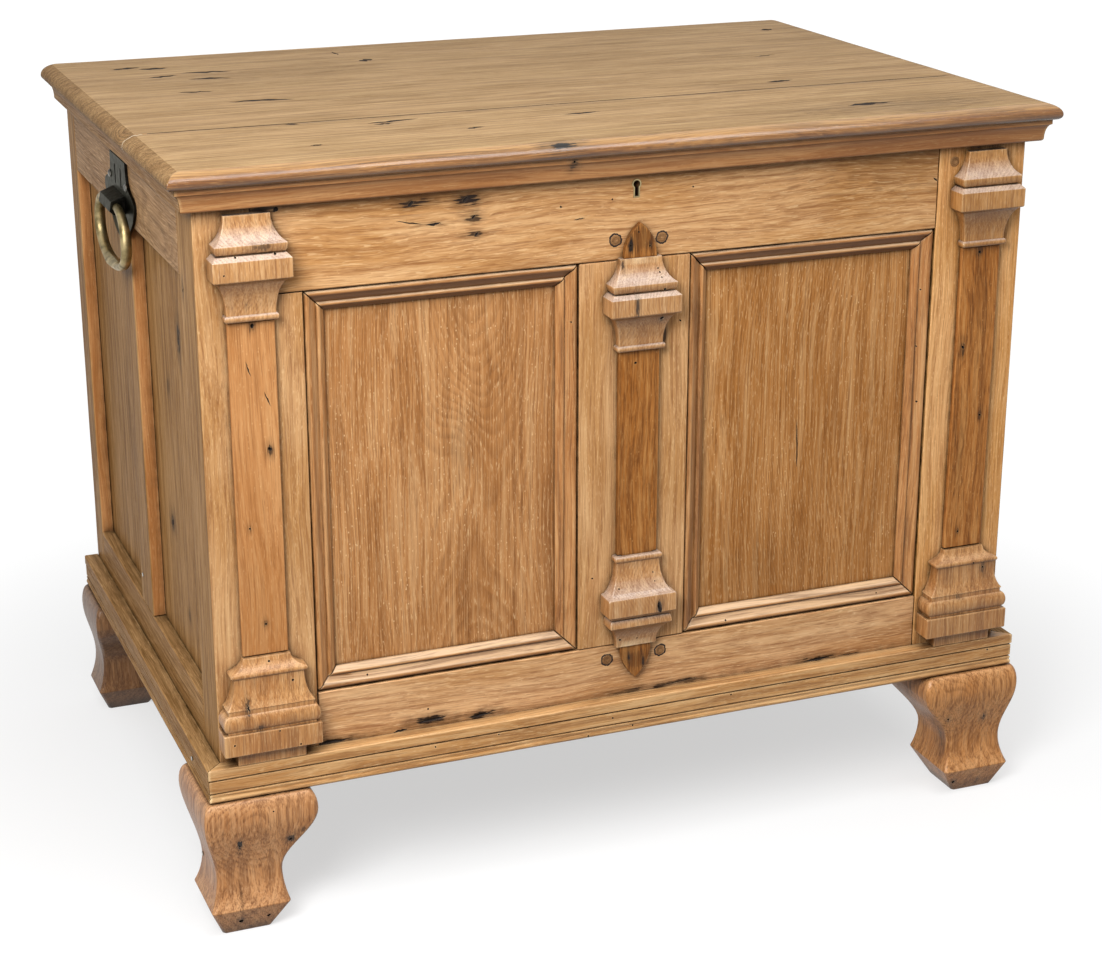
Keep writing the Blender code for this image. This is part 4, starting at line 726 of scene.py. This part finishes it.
def stain(piece, name):
    """Hand a piece its marks for the wood shader to read."""
    for key, (centre, size, dark, lift) in zip(MARKS, STAINS.get(name, ())):
        piece[key] = [float(value) for value in centre]
        piece[key + "_size"] = [float(value) for value in size]
        piece[key + "_force"] = [float(dark), float(lift), 0.0]


print("marks on", len(STAINS), "pieces")

# %% [markdown]
# ## Splits, holes and gouges
# Bump in a material looks flat from the side, so these are real hollows. A split is a thin wedge, pointed at both
# ends; a hole or a rotten knot is an uneven pit. Both are closed shapes for one Boolean cut in each piece. Sizes are
# in millimetres.


# %% Shapes of hollows
def loft(shape, rings):
    """Join rings of points into one closed skin with flat ends."""
    skins = [[shape.verts.new(point) for point in ring] for ring in rings]
    count = len(rings[0])
    for one, two in zip(skins, skins[1:]):
        for k in range(count):
            shape.faces.new((one[k], one[(k + 1) % count], two[(k + 1) % count], two[k]))
    shape.faces.new(skins[0][::-1])
    shape.faces.new(skins[-1])


LIFT = 0.0008  # a cutter starts this far above the surface
STATIONS = 8  # along a split
SPLIT_TIP = 0.06  # how much of its width and depth a split keeps at its ends
SPLIT_FULLNESS = 0.8  # below 1 a split is full along its middle
SPLIT_RAGGED, PIT_RAGGED = (0.75, 1.15), (0.7, 1.15)
SPLIT_STRAY = 0.2  # how far a split strays sideways, as a share of its width
PIT_SIDES = 11
PIT_LEVELS = ((0.35, 0.9), (1.0, 0.45))  # shares of a pit's depth and radius, on the way down and at the bottom
FORWARD, LEFT, BACK, UP = (0, -1, 0), (-1, 0, 0), (0, 1, 0), (0, 0, 1)


def split_cutter(shape, start, stop, width, depth, out=FORWARD):
    """A wedge along a surface that faces the direction out, from start to stop."""
    draw = random.Random(str(start))
    start, stop, out = Vector(start) / TO_MM, Vector(stop) / TO_MM, Vector(out)
    across = (stop - start).normalized().cross(out)
    rings = []
    for step in range(STATIONS + 1):
        share = step / STATIONS
        swell = max(SPLIT_TIP, math.sin(math.pi * share) ** SPLIT_FULLNESS) * draw.uniform(*SPLIT_RAGGED)
        middle = start.lerp(stop, share) + across * draw.uniform(-SPLIT_STRAY, SPLIT_STRAY) * width / TO_MM
        half = across * (width / TO_MM / 2 * swell)
        floor = -out * (depth / TO_MM * swell)
        rings.append([middle - half + out * LIFT, middle + half + out * LIFT, middle + floor])
    loft(shape, rings)


def pit_cutter(shape, centre, radius, depth=4.0, long=1.0, out=FORWARD):
    """An uneven pit in a surface that faces the direction out, longer one way than the other."""
    draw = random.Random(str(centre))
    centre, out = Vector(centre) / TO_MM, Vector(out)
    side = out.orthogonal().normalized()
    if abs(side.z) > abs(side.cross(out).z):
        side = side.cross(out)
    up = out.cross(side)
    turns = [(math.tau * k / PIT_SIDES, draw.uniform(*PIT_RAGGED)) for k in range(PIT_SIDES)]
    levels = [(LIFT, 1.0), *((-share * depth / TO_MM, shrink) for share, shrink in PIT_LEVELS)]
    rings = []
    for level, shrink in levels:
        ring = []
        for angle, wild in turns:
            reach = radius / TO_MM * wild * shrink
            across, along = reach * long * math.cos(angle), reach * math.sin(angle)
            ring.append(centre + out * level + side * across + up * along)
        rings.append(ring)
    loft(shape, rings)


print("a split has", STATIONS + 1, "stations, a pit", PIT_SIDES, "sides")

# %% [markdown]
# ## Where the hollows are
# Each was placed from the photograph. A split has a start, an end, a width and a depth. A pit has a centre and
# a radius and then, where it isn't the usual one, a depth, a stretch and the way it faces.

# %% Where the hollows are
LID_TOP = TO_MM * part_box("lid_top")[1].z
LID_WIDER = 1.45  # the lid is seen at a slant, so its splits are cut this much wider than they look
SHAFT = -326.45  # the face of the shafts
BASE_FACE = -336.5  # and of the base moulding, near the middle of its profile
SPLITS = {
    "lid_top": [
        ((x, y, LID_TOP), (p, q, LID_TOP), LID_WIDER * width, 4.0, UP)
        for x, y, p, q, width in (
            (-437, 268, -399, 276, 8.0), (-404, 259, -369, 257, 10.0), (-363, 216, -301, 210, 8.5),
            (-407, 196, -369, 203, 7.0), (-364, 171, -313, 162, 8.5), (-396, 87, -355, 82, 6.5),
            (-358, 8, -282, 1, 8.5), (-334, -143, -318, -147, 5.0), (-251, -172, -190, -163, 6.5),
            (-246, -180, -222, -177, 5.0), (-36, -201, 9, -197, 5.5), (-162, -236, -139, -233, 5.0),
            (-138, 222, -118, 225, 13.0), (262, -100, 298, -97, 8.0), (276, -268, 336, -266, 10.0),
            (436, 260, 454, 265, 10.0), (-340, -263, -326, -261, 4.5), (-150, 300, -147, 275, 3.0),
            (330, 70, 362, 74, 4.0),
        )
    ],
    "front_top_rail": [
        ((-268, FRONT, 778), (-239.5, FRONT, 772.6), 1.7, 3), ((-236, FRONT, 771), (-219, FRONT, 772), 3.4, 3),
        ((-72, FRONT, 762.4), (-59, FRONT, 763.8), 1.8, 2), ((362, FRONT, 773), (368, FRONT, 769), 2.2, 3),
    ],
    "front_right_panel": [((209.4, -305, 503), (211.5, -305, 446), 1.5, 4)],
    "front_bottom_rail": [
        ((-378, FRONT, 206.4), (-334, FRONT, 206), 3.6, 4), ((-258, FRONT, 210.5), (-222, FRONT, 213.8), 3.6, 4),
        ((-197, FRONT, 206.5), (-168, FRONT, 209.6), 3.2, 4), ((-285, FRONT, 204.6), (-268, FRONT, 206), 3.2, 4),
        ((222, FRONT, 206), (258, FRONT, 205.6), 2.8, 4), ((267, FRONT, 205.8), (300, FRONT, 205.2), 1.3, 3),
        ((36, FRONT, 206.4), (84, FRONT, 209), 1.5, 3),
    ],
    "left_pilaster_shaft": [
        ((-433.5, SHAFT, 649), (-429, SHAFT, 633), 1.6, 2),
        ((-415.5, SHAFT, 615), (-409, SHAFT, 599), 1.5, 2),
    ],
    "left_pilaster_base": [((-453, -341, 279), (-449.5, -343.5, 266), 1.8, 3)],
    "centre_pilaster_drop": [((22, -345.6, 326), (24.5, -345.6, 307), 4.6, 4)],
}
PITS = {
    "front_top_rail": [
        ((-252, FRONT, 795), 1.6, 1.4, 3.0), ((-193, FRONT, 794.5), 2.0, 1.6, 1.8),
        ((-184, FRONT, 775.6), 1.4, 1.6, 2.2), ((-181, FRONT, 757), 1.4, 1.6, 2.2),
        ((-394, FRONT, 801.5), 2.6, 2.0, 1.2), ((-86.5, FRONT, 777.8), 1.2, 2.0), ((66, FRONT, 787), 1.0, 2.0),
        ((-28, FRONT, 781), 0.9, 2.0, 1.3),
    ],
    "front_bottom_rail": [((-244, FRONT, 226), 1.2, 2.0)],
    "left_pilaster_capital": [
        ((-442.8, -341.5, 761.5), 1.4), ((-401.9, -341.5, 762), 1.4), ((-456, -345.6, 745), 0.9, 3.0),
    ],
    "centre_pilaster_capital": [
        ((-17.8, -338.4, 681), 1.4), ((25, -341.5, 683.5), 1.4), ((20.9, -331, 704.6), 0.9, 3.0),
        ((22.5, -333, 700.5), 0.9, 3.0), ((23.4, -336, 695.7), 0.8, 3.0), ((23.6, -337.5, 650.6), 1.6, 3.0, 1.4),
    ],
    "centre_pilaster_drop": [
        ((-18.3, -330, 276.8), 1.4), ((2.8, -329.8, 275.8), 0.9, 3.0), ((-22.7, -336, 341.9), 0.9, 3.0),
        ((20.3, -332, 354.4), 0.9, 3.0), ((21.6, -335, 344.4), 0.9, 3.0),
    ],
    "right_panel_moulding_right": [
        ((356.8, -313.3, 643.4), 1.0, 3.0), ((355.7, -312.7, 576.2), 1.0, 3.0), ((359, -314.5, 509.8), 1.2, 2.0),
    ],
    "right_panel_moulding_bottom": [((119.9, -317.1, 273.8), 1.0, 3.0), ((318.7, -314.4, 277), 1.0, 3.0)],
    "left_panel_moulding_bottom": [((-311.3, -314.4, 276.9), 1.0, 3.0)],
    "left_panel_moulding_right": [((-73.3, -315.6, 650.5), 1.0, 3.0)],
    "right_pilaster_base": [((449, -336.9, 299), 1.2), ((434.8, -339.3, 307), 1.1)],
    "left_pilaster_base": [
        ((-424.2, -331.5, 318.7), 1.2), ((-400.7, -337.5, 295.5), 1.3), ((-469, -346.3, 234), 1.2),
        ((-419.5, -346.3, 242.8), 1.1), ((-397, -346.3, 223.4), 1.1),
    ],
    "left_pilaster_shaft": [
        ((-425, SHAFT, 686), 2.4), ((-412, SHAFT, 553), 2.6, 4.0, 0.7), ((-437, SHAFT, 468.6), 1.2, 3.0, 0.9),
        ((-424.5, SHAFT, 359.6), 1.3, 3.0),
    ],
    "right_pilaster_shaft": [
        ((424, SHAFT, 684), 1.7), ((409.6, SHAFT, 573), 2.2, 4.0, 0.8), ((438, SHAFT, 487.7), 1.6, 4.0, 0.8),
        ((418, SHAFT, 345), 1.4),
    ],
    "centre_pilaster_shaft": [
        ((-9, SHAFT, 730.5), 1.3, 3.0), ((13.1, SHAFT, 728.5), 1.1, 3.0), ((0.1, SHAFT, 745), 1.0, 2.0),
        ((-2, SHAFT, 600), 1.4, 4.0, 1.2),
    ],
    "front_left_stile": [((-480, -264.8, 713), 2.6, 4.0, 0.8, LEFT)],
    "lid_moulding_front": [((-79.7, -339.6, 829), 1.4, 3.0)],
    "front_muntin": [((54, FRONT, 640), 1.3, 3.0, 0.7), ((-48, FRONT, 352), 1.1, 3.0)],
    "front_right_foot": [
        ((414.2, -338.4, 105), 1.5, 4.0, 0.9), ((465.3, -337, 100), 1.5, 4.0, 0.8), ((430, -333.6, 15), 1.9),
    ],
    "left_side_front_panel": [((-465, -160, 633), 5.0, 1.6, 0.5, LEFT), ((-465, -78, 393), 4.6, 2.2, 0.8, LEFT)],
    "front_left_foot": [
        ((-468, -340.2, 111), 1.8, 6.0, 0.5), ((-411, -339.8, 108), 1.8, 4.0, 1.2),
        ((-469, -333.8, 16), 2.7, 4.0, 0.9), ((-438, -334.2, 17), 1.7, 4.0, 1.4), ((-430, -345, 148), 0.9, 3.0),
    ],
    "base_moulding_front": [
        ((x, BASE_FACE, z), radius, 3.0)
        for x, z, radius in (
            (-367, 176, 1.1), (120, 188, 0.9), (463.9, 189, 1.0), (-242, 187, 0.9), (-167, 189, 0.9),
            (-29, 184.5, 1.0), (-59, 167.5, 1.2), (-4, 171, 1.0),
        )
    ],
}
print("hollows in", len(set(SPLITS) | set(PITS)), "pieces")

# %% [markdown]
# ## Which finish a face takes
# Faces that look into the chest were never waxed: they are raw. The lid's rounded nose is polished in front and end
# grain at its ends, its seam is full of dirt, and the sides of the stiles have dulled like the ends of the chest.
# Painting by the place and lean of a face keeps all that in one mesh.

# %% Finishes of faces
# The room inside the chest, from its front left bottom corner to its back right top one
ROOM = (Vector((-0.4552, -0.2955, 0.1824)), Vector((0.4552, 0.3215, 0.8325)))
LEVEL = 0.985  # a lid face that leans more than this belongs to the nose
DOWNWARD, SIDEWAYS = -0.9, 0.8  # how nearly a face must look down, or to one side
NOSE_WIDTH = 0.026  # how far the rounded nose reaches in from the lid's edge
UNDERSIDE = 0.002  # how near the bottom of the lid a face must lie to be unwaxed
LININGS = (WOODS["nose"], WOODS["nose_end"], WOODS["side_z"], WOODS["shaft"], HOLLOW)
OWN, UNWAXED, NOSE_FACE, NOSE_END_FACE, SIDE_FACE, EDGE_FACE, SEAM_FACE = range(7)


def lining_of(name, face, low, high):
    """Which finish a face takes: its own wood, raw wood inside, and the few faces that weather their own way."""
    middle, normal = face.calc_center_median(), face.normal
    if all(ROOM[0][k] < middle[k] < ROOM[1][k] for k in range(3)):
        return UNWAXED
    if name == "lid_top" and normal.z < LEVEL:
        if normal.z < DOWNWARD and middle.z - low.z < UNDERSIDE:
            return UNWAXED
        if min(middle.x - low.x, high.x - middle.x, middle.y - low.y, high.y - middle.y) > NOSE_WIDTH:
            return SEAM_FACE
        return NOSE_END_FACE if abs(normal.x) > abs(normal.y) else NOSE_FACE
    if name.endswith("stile") and abs(normal.x) > SIDEWAYS:
        return SIDE_FACE
    if ("side_muntin" in name or name.endswith("post")) and normal.y < -SIDEWAYS:
        return EDGE_FACE
    return OWN


print("finishes to choose from on a board:", 2 + len(LININGS))

# %% [markdown]
# ## Clean cuts
# A Boolean cut is quick and exact, but leaves needle-thin faces where a cutter grazes an edge. They are closed up
# afterwards, because they would shade as dark hairs.

# %% Cuts and clean skins
SAME = 1e-6  # points closer than this are one point
SLIVER = 0.00002  # edges shorter than this are closed up, so no needle-thin faces stay
COPLANAR = math.radians(0.6)  # faces that turn less than this are one face


def cut_hollows(piece, name):
    """Take a piece's splits and pits out of it, lined with old dirt."""
    cutter = bmesh.new()
    for row in SPLITS.get(name, ()):
        split_cutter(cutter, *row)
    for row in PITS.get(name, ()):
        pit_cutter(cutter, *row)
    bmesh.ops.recalc_face_normals(cutter, faces=cutter.faces[:])
    knife = new_piece("knife", cutter, HOLLOW)
    cutter.free()
    cut = piece.modifiers.new("hollows", "BOOLEAN")
    cut.operation, cut.solver, cut.material_mode = "DIFFERENCE", "EXACT", "TRANSFER"
    cut.object, cut.use_self = knife, True
    done = bpy.data.meshes.new_from_object(piece.evaluated_get(bpy.context.evaluated_depsgraph_get()))
    piece.modifiers.clear()
    piece.data = done
    bpy.data.objects.remove(knife)


def close_up(shape):
    """Close needle-thin faces and pinholes, so that the skin has no stray faces."""
    bmesh.ops.remove_doubles(shape, verts=shape.verts[:], dist=SAME)
    bmesh.ops.dissolve_degenerate(shape, dist=SLIVER, edges=shape.edges[:])
    crowded = [face for face in shape.faces if any(len(edge.link_faces) > 2 for edge in face.edges)]
    bmesh.ops.triangulate(shape, faces=crowded)
    shape.verts.index_update()
    corners = {face: frozenset(vert.index for vert in face.verts) for face in shape.faces}
    twins = Counter(corners.values())
    stray = [
        face
        for face in shape.faces
        if twins[corners[face]] > 1 or all(len(edge.link_faces) != 2 for edge in face.edges)
    ]
    bmesh.ops.delete(shape, geom=stray, context="FACES")
    bmesh.ops.holes_fill(shape, edges=[edge for edge in shape.edges if edge.is_boundary], sides=0)


def rounded(name, limit, offset, convex):
    """A solid as one skin of whole faces, with its sharp edges rounded: all of them, or only the convex ones."""
    shape = bmesh.new()
    shape.from_mesh(nodes[name].data)
    bmesh.ops.remove_doubles(shape, verts=shape.verts[:], dist=SAME)
    bmesh.ops.dissolve_limit(shape, angle_limit=COPLANAR, verts=shape.verts[:], edges=shape.edges[:])
    sharp = [edge for edge in shape.edges if edge.calc_face_angle(0) > limit and (edge.is_convex or not convex)]
    bmesh.ops.bevel(shape, geom=sharp, offset=offset, segments=2, profile=0.5, affect="EDGES", clamp_overlap=True)
    return shape


print("edges under", SLIVER * TO_MM, "mm are closed up")

# %% [markdown]
# ## Boards as a hand left them
# No edge on an old chest is dead straight. Each wooden solid is copied, its arrises are rounded, its hollows are
# cut, its faces are divided into a net and the net is pushed in by a fraction of a millimetre of smooth noise. It
# is only ever pushed in, so joints stay clear.

# %% Eased boards
ARRIS = 0.0009
FINE_ARRIS = 0.0004  # for the narrow members of the lid and base mouldings
SHARP = math.radians(30)  # an outer edge sharper than this is rounded
SHARP_LID = math.radians(50)  # on the lid the seam's shallow V is left as it is
NET = 0.014  # the size of the net's meshes
WEAR, WEAR_SPAN = 0.00035, 0.05  # how deep the unevenness goes, and how far apart its hollows are
CREASE = math.radians(32)  # shading is round up to this turn


def smooth(piece):
    """Round shading that stops at creases, with flat faces kept flat."""
    piece.data.polygons.foreach_set("use_smooth", [True] * len(piece.data.polygons))
    piece.data.set_sharp_from_angle(angle=CREASE)
    flat = piece.modifiers.new("flat_faces", "WEIGHTED_NORMAL")
    flat.keep_sharp = True


def ride_for(piece, name):
    """Let a piece stand for a solid: same body, same place in the log, same marks; the solid is hidden."""
    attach(piece, nodes[name]["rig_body"])
    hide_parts(name)
    place_in_log(piece, name)
    stain(piece, name)


def eased(name):
    """A rounded, hollowed and slightly uneven copy of a solid."""
    limit = SHARP_LID if name == "lid_top" else SHARP
    offset = FINE_ARRIS if name.startswith(("lid_moulding", "base_moulding")) else ARRIS
    shape = rounded(name, limit, offset, convex=True)
    wood = finish_of(name)
    piece = new_piece("dressed_" + name, shape, wood, WOODS["raw_" + wood["grain"].lower()], *LININGS)
    if name in SPLITS or name in PITS:
        cut_hollows(piece, name)
    shape.clear()
    shape.from_mesh(piece.data)
    low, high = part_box(name)
    for axis in range(3):
        count = round((high[axis] - low[axis]) / NET)
        normal = Vector([1.0 if k == axis else 0.0 for k in range(3)])
        for step in range(1, count if count > 2 else 0):
            point = low + (high - low) * (step / count)
            every = shape.verts[:] + shape.edges[:] + shape.faces[:]
            bmesh.ops.bisect_plane(shape, geom=every, dist=SAME, plane_co=point, plane_no=normal)
    close_up(shape)
    shape.normal_update()
    for face in shape.faces:
        if face.material_index == OWN:
            face.material_index = lining_of(name, face, low, high)
    depths = [WEAR * (0.5 + 0.5 * noise.noise(vert.co / WEAR_SPAN)) for vert in shape.verts]
    for vert, depth in zip(shape.verts, depths):
        vert.co -= vert.normal * depth
    shape.to_mesh(piece.data)
    shape.free()
    smooth(piece)
    ride_for(piece, name)
    return piece


dressed = {name: eased(name) for name in nodes if slot_of[name] not in ("iron", "brass")}
print("eased", len(dressed), "boards,", sum(len(piece.data.polygons) for piece in dressed.values()), "faces")

# %% [markdown]
# ## Metal edges
# Forged plates, hinges, lock parts and drop rings get finer arrises, inside corners too, and no net: metal keeps its
# shape.

# %% Filed metal
FILED_ARRIS = 0.0005
FILED_SHARP = math.radians(38)


def filed(name):
    """A copy of a metal solid with rounded arrises."""
    shape = rounded(name, FILED_SHARP, FILED_ARRIS, convex=False)
    close_up(shape)
    piece = new_piece("dressed_" + name, shape, finish_of(name))
    shape.free()
    smooth(piece)
    ride_for(piece, name)
    return piece


metalwork = {name: filed(name) for name in nodes if name not in dressed}
print("filed", len(metalwork), "metal pieces")

# %% [markdown]
# ## Pegs, rivets and nails
# Small turned or hammered things, all made the same way: a profile of radius and height is turned round an axis and
# made slightly uneven, so that no two heads match. Pegs are end grain, a little darker than the rail they hold.


# %% Turned heads
def turned_head(shape, centre, out, profile, sides=14, uneven=0.06):
    """Turn a profile of (radius, height) in millimetres round an axis. Slightly uneven, as if by hand."""
    draw = random.Random(str(centre))
    centre, out = Vector(centre) / TO_MM, Vector(out).normalized()
    side = out.orthogonal().normalized()
    up = out.cross(side)
    wild = [draw.uniform(1 - uneven, 1 + uneven) for _ in range(sides)]
    rings = []
    for radius, height in profile:
        ring = []
        for k in range(sides):
            angle, reach = math.tau * k / sides, radius / TO_MM * wild[k]
            across, along = reach * math.cos(angle), reach * math.sin(angle)
            ring.append(centre + out * (height / TO_MM) + side * across + up * along)
        rings.append(ring)
    loft(shape, rings)


FITTING_BOARD, FITTING_TONE = [31.0, 77.0, 12.0], 0.86  # small wooden pieces share one place in a log


def fitting(name, shape, material, body):
    """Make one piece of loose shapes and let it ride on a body."""
    bmesh.ops.recalc_face_normals(shape, faces=shape.faces[:])
    piece = new_piece(name, shape, material)
    shape.free()
    smooth(piece)
    piece["board"], piece["tone"], piece["richness"] = FITTING_BOARD, FITTING_TONE, 1.0
    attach(piece, body)
    return piece


PEG = ((5.5, -1.6), (5.7, 0.1), (5.1, 0.5), (3.2, 0.6), (2.2, 0.1), (0.5, 0.0))
PEG_GAP = ((5.6, -0.4), (5.7, 0.06), (7.2, 0.12), (7.8, -0.1))  # the dark ring of dirt round a peg
PEGS = ((-23.9, 736.4), (30.4, 735), (-29.5, 249.7), (36.4, 251.3))
CLEAN_PEG = (388.6, 789.2)  # no dirt has gathered round this one
pegs, gaps = bmesh.new(), bmesh.new()
for x, z in (*PEGS, CLEAN_PEG):
    turned_head(pegs, (x, FRONT, z), FORWARD, PEG, sides=22, uneven=0.05)
for x, z in PEGS:
    turned_head(gaps, (x, FRONT, z), FORWARD, PEG_GAP, sides=26, uneven=0.09)
fitting("oak_pegs", pegs, WOODS["peg"], "carcase")
fitting("peg_gaps", gaps, HOLLOW, "carcase")

RIVET = ((4.6, -0.5), (4.7, 0.5), (4.1, 1.5), (2.8, 2.2), (1.1, 2.5))
RIVET_REACH, RIVET_LEVEL = 43.0, 769.0
END_FACE, PLATE_MM = 480.3, 3.0  # where the chest's ends lie, and how thick the handle plates are
for side, sign in (("left", -1), ("right", 1)):
    low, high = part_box(side + "_handle_plate")
    face = sign * (END_FACE + PLATE_MM)
    middle = TO_MM * (low.y + high.y) / 2
    heads = bmesh.new()
    for along in (-RIVET_REACH, RIVET_REACH):
        turned_head(heads, (face, middle + along, RIVET_LEVEL), (sign, 0, 0), RIVET)
    fitting(side + "_plate_rivets", heads, RUBBED, "carcase")

NAIL = ((2.4, -0.4), (2.6, 0.3), (2.2, 0.7), (0.6, 0.9))
NAILS = ((-480, 42, 286), (-493.4, -268, 71), (-498, -262, 186))
nails = bmesh.new()
for centre in NAILS:
    turned_head(nails, centre, LEFT, NAIL, sides=10)
fitting("bright_nails", nails, STEEL, "carcase")
print("pegs, rivets and nails in place")

# %% [markdown]
# ## Slotted screws
# Hinges and lock are held by slotted screws. Each head is two half discs on a base, so the slot is a real gap.

# %% Screws
SCREW_BASE = ((3.7, -0.3), (3.8, 0.05), (3.5, 0.2))
SCREW_DOME = ((3.7, 0.1), (3.6, 0.5), (2.6, 0.8))
SLOT_HALF = 0.45
DOME_SIDES = 8
SCREW_STEP = 24.0
SCREW_TURN = 3  # radians: slots stop at any angle
LEAF_MM = 2.3  # how thick a hinge's leaf is
LEAF_INSET, LOCK_INSET = 5.5, 8  # how far from their edges the screws of leaves and lock are


def slotted_head(shape, centre, turn, out=BACK):
    """Two half discs with a slot between them, on a thinner disc."""
    turned_head(shape, centre, out, SCREW_BASE, uneven=0.0)
    centre, out = Vector(centre) / TO_MM, Vector(out).normalized()
    side = out.orthogonal().normalized()
    up = out.cross(side)
    along = side * math.cos(turn) + up * math.sin(turn)
    across = out.cross(along)
    for sign in (-1, 1):
        rings = []
        for radius, height in SCREW_DOME:
            ring = []
            for k in range(DOME_SIDES + 1):
                angle = math.pi * (k / DOME_SIDES - 0.5)
                reach = across * (sign * max(radius * math.cos(angle), SLOT_HALF)) + along * (radius * math.sin(angle))
                ring.append(centre + (reach + out * height) / TO_MM)
            rings.append(ring)
        loft(shape, rings)


draw = random.Random("screws")
leaf_face = TO_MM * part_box("back_boards")[1].y + LEAF_MM
for side in ("left", "right"):
    for leaf, body in (("back_leaf", "carcase"), ("lid_leaf", "lid")):
        low, high = (TO_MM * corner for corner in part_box(f"{side}_hinge_{leaf}"))
        level = low.z + LEAF_INSET if leaf == "back_leaf" else high.z - LEAF_INSET
        screws = bmesh.new()
        for step in (-1, 0, 1):
            x = (low.x + high.x) / 2 + step * SCREW_STEP
            slotted_head(screws, (x, leaf_face, level), draw.uniform(0, SCREW_TURN))
        fitting(f"{side}_{leaf}_screws", screws, IRON, body)
low, high = (TO_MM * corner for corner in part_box("lock_case"))
screws = bmesh.new()
for x in (low.x + LOCK_INSET, high.x - LOCK_INSET):
    for z in (low.z + LOCK_INSET, high.z - LOCK_INSET):
        slotted_head(screws, (x, high.y, z), draw.uniform(0, SCREW_TURN))
fitting("lock_screws", screws, IRON, "carcase")
print("screws in place")

# %% [markdown]
# ## Keyhole rim
# The keyhole is lined with a thin brass rim. A bevelled curve would round its corners, so its four-cornered section
# is carried round the outline of the hole, point by point.

# %% Keyhole rim
KEYHOLE = {"centre": 795.5, "head": 4.2, "slot": 2.5, "foot": 782.0}
ARC_STEPS = 16
RIM_PROFILE = ((-0.3, -2.0), (-0.3, 0.45), (1.1, 0.45), (1.3, -0.4))  # how far it grows outward and stands proud


def keyhole_outline(grow):
    """The keyhole's outline, grown outward, as x and z in millimetres."""
    head, slot = KEYHOLE["head"] + grow, KEYHOLE["slot"] + grow
    open_angle = math.asin(slot / head)
    turns = [open_angle + (math.tau - 2 * open_angle) * k / ARC_STEPS for k in range(ARC_STEPS + 1)]
    arc = [(-head * math.sin(angle), KEYHOLE["centre"] - head * math.cos(angle)) for angle in turns]
    return [(slot, KEYHOLE["foot"] - grow), (-slot, KEYHOLE["foot"] - grow), *arc]


rim = bmesh.new()
skins = [
    [rim.verts.new((x / TO_MM, (FRONT - stand) / TO_MM, z / TO_MM)) for x, z in keyhole_outline(grow)]
    for grow, stand in RIM_PROFILE
]
for one, two in zip(skins, skins[1:] + skins[:1]):
    for k in range(len(one)):
        rim.faces.new((one[k], one[(k + 1) % len(one)], two[(k + 1) % len(two)], two[k]))
fitting("keyhole_rim", rim, BRASS, "carcase")
print("keyhole lined")

# %% [markdown]
# ## Glue in the seam
# Hide glue was squeezed out at the left end of the lid's seam and dried to a pale line. Its ribbon has to follow the
# nose, which is found by casting rays at the dressed lid.

# %% Glue in the seam
# Dried in crumbs: cream, with a dull shine
GLUE = crumbly("dried_hide_glue", "#a8906c", "#e6d9c2", 3.0, 0.5)
GLUE_FROM = Vector((-0.489, -0.1413, 0.8418))  # inside the nose; rays are cast back at it from GLUE_RAY away
GLUE_RAY = 0.06
GLUE_TURN, GLUE_STEP, GLUE_STEPS = 75, 9, 15  # degrees over the nose
GLUE_HALF = Vector((0, 0.0007, 0))
GLUE_SWAY, GLUE_WAVE = 0.0011, 1.3  # the line strays this far, at this rate
GLUE_SUNK, GLUE_STAND = -0.0003, 0.0002
SECTION = ((-GLUE_HALF, GLUE_SUNK), (GLUE_HALF, GLUE_SUNK), (GLUE_HALF, GLUE_STAND), (-GLUE_HALF, GLUE_STAND))
ribbon = []
for step in range(GLUE_STEPS):
    angle = math.radians(GLUE_TURN + GLUE_STEP * step)
    outward = Vector((math.cos(angle), 0, math.sin(angle)))
    _, spot, normal, _ = dressed["lid_top"].ray_cast(GLUE_FROM + outward * GLUE_RAY, -outward)
    sway = Vector((0, GLUE_SWAY * math.sin(step * GLUE_WAVE), 0))
    ribbon.append([spot + sway + edge + normal * lift for edge, lift in SECTION])
glue = bmesh.new()
loft(glue, ribbon)
fitting("seam_glue", glue, GLUE, "lid")
print("glue in place")
